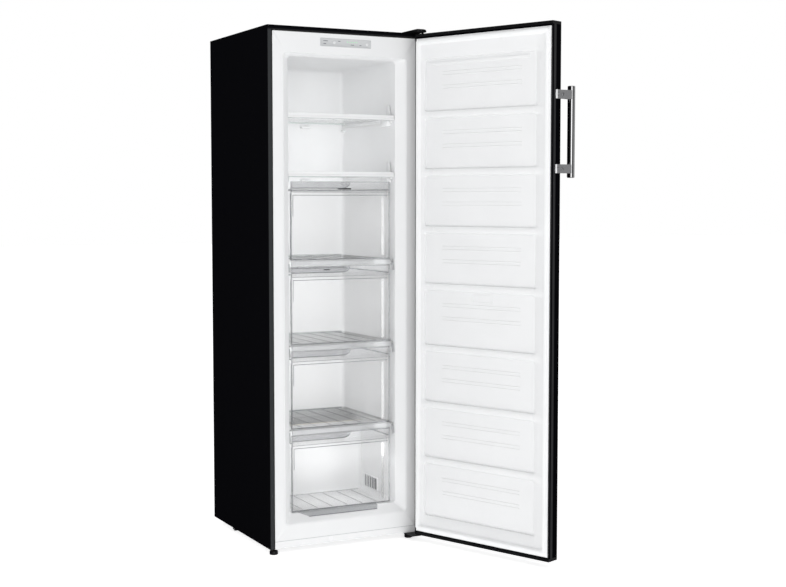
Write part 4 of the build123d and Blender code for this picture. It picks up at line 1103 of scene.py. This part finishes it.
def make_bracket(bracket, x, y, radius):
    """A tapering bracket from the door's edge to the bar, with a dished screw and a white strip along its
    edge as a painted highlight.
    """
    low, high = shut_box(bracket)
    side, foot, front = -HALF_WIDTH, high.y, y + radius * 0.55
    outline = [Vector(point) for point in (
        (side, foot), (side - 0.003, foot), (side - 0.004, foot - 0.001), (side - 0.0042, foot - 0.018),
        (x - 0.0075, front + 0.012), (x - 0.0085, front), (x + 0.0085, front), (side, y + radius + 0.027),
    )]
    middle = sum(outline, Vector((0, 0))) / len(outline)
    arm = Shape()
    rings = []
    for inset, z in ((0.0012, low.z), (0.0003, low.z + 0.0005), (0.0, low.z + 0.0014),
                     (0.0, high.z - 0.0014), (0.0003, high.z - 0.0005), (0.0012, high.z)):
        ring = [middle + (point - middle) * (1 - inset / max((point - middle).length, 0.001))
                for point in outline]
        rings.append([(point.x, point.y, z) for point in ring])
    arm.rings(rings, True, True)
    face_low, face_high = outline[3], outline[4]
    along = (face_high - face_low).normalized()
    centre = face_low.lerp(face_high, 0.3)
    outward = Vector((along.y, -along.x, 0))
    screw = Shape().rings([round_ring(0, 0, up, head, 24) for up, head in (
        (-0.001, 0.0046), (0.0006, 0.0046), (0.0015, 0.004), (0.002, 0.0028), (0.0021, 0.0014),
        (0.0012, 0.001))], True, True)
    screw.turn(Matrix.Translation((centre.x, centre.y, (low.z + high.z) / 2))
               @ outward.to_track_quat("Z", "Y").to_matrix().to_4x4())
    screw.piece(f"{bracket}_screw", "zinc_screw", "door")
    # painted highlight: a white strip at the bracket's foot, where the edge would catch light
    edge = Shape().block(side - 0.0046, side - 0.0002, foot - 0.005, foot + 0.0006, low.z, high.z, 0.0006)
    edge.piece(f"{bracket}_edge", "painted_edge_highlight", "door", slot="handle_steel")
    arm.piece(f"{bracket}_arm", "bracket_steel", "door", slot="handle_steel", replaces=[bracket], smooth=30)


# --- Carried-over CAD nodes ---
NODES_BY_MATERIAL = {
    "black_steel": ["cabinet_shell"],
    "galvanised_steel": ["back_panel", "base_frame", "compressor_plate", "bay_cover", "roller_brackets"],
    "foam": ["cabinet_foam", "door_foam"],
    "white_trim": ["plinth", "vent_grille"],
    "circuit_board": ["control_board"],
    "steel_tube": ["evaporator", "condenser"],
    "rubber_black": ["compressor_grommets"],
    "compressor_black": ["compressor"],
    "copper_tube": ["filter_drier", "discharge_pipe"],
    "black_plastic": ["starter_box", "mains_inlet", "rear_left_roller", "rear_right_roller",
                      "door_top_cap", "door_bottom_cap", "hinge_bushes"],
    "hinge_black": ["top_hinge", "bottom_hinge"],
    "zinc_screw": ["hinge_screws", "handle_screws"],
    "door_black": ["door_skin"],
    "grey_trim": ["door_side_trims"],
    "shelf_glass": [f"glass_shelf_{number}" for number in range(1, 6)],
}


def paint_nodes():
    for material, nodes in NODES_BY_MATERIAL.items():
        for node in nodes:
            data = frame["nodes"][node].data
            data.materials.clear()
            data.materials.append(M[material])


make_camera()
make_light()
make_floor(M["floor"])
paint_nodes()
make_liner()
make_brackets()
make_struts()
make_grille_slot_shade()
make_plinth_joint()
make_flange_gap_shade()
make_shelves()
make_controls()
make_buttons()
make_hinge_cover()
make_feet()
for drawer_number in DRAWERS:
    make_drawer(drawer_number)
make_door_liner()
make_door_edges()
make_cap_lips()
make_gasket()
make_handle()
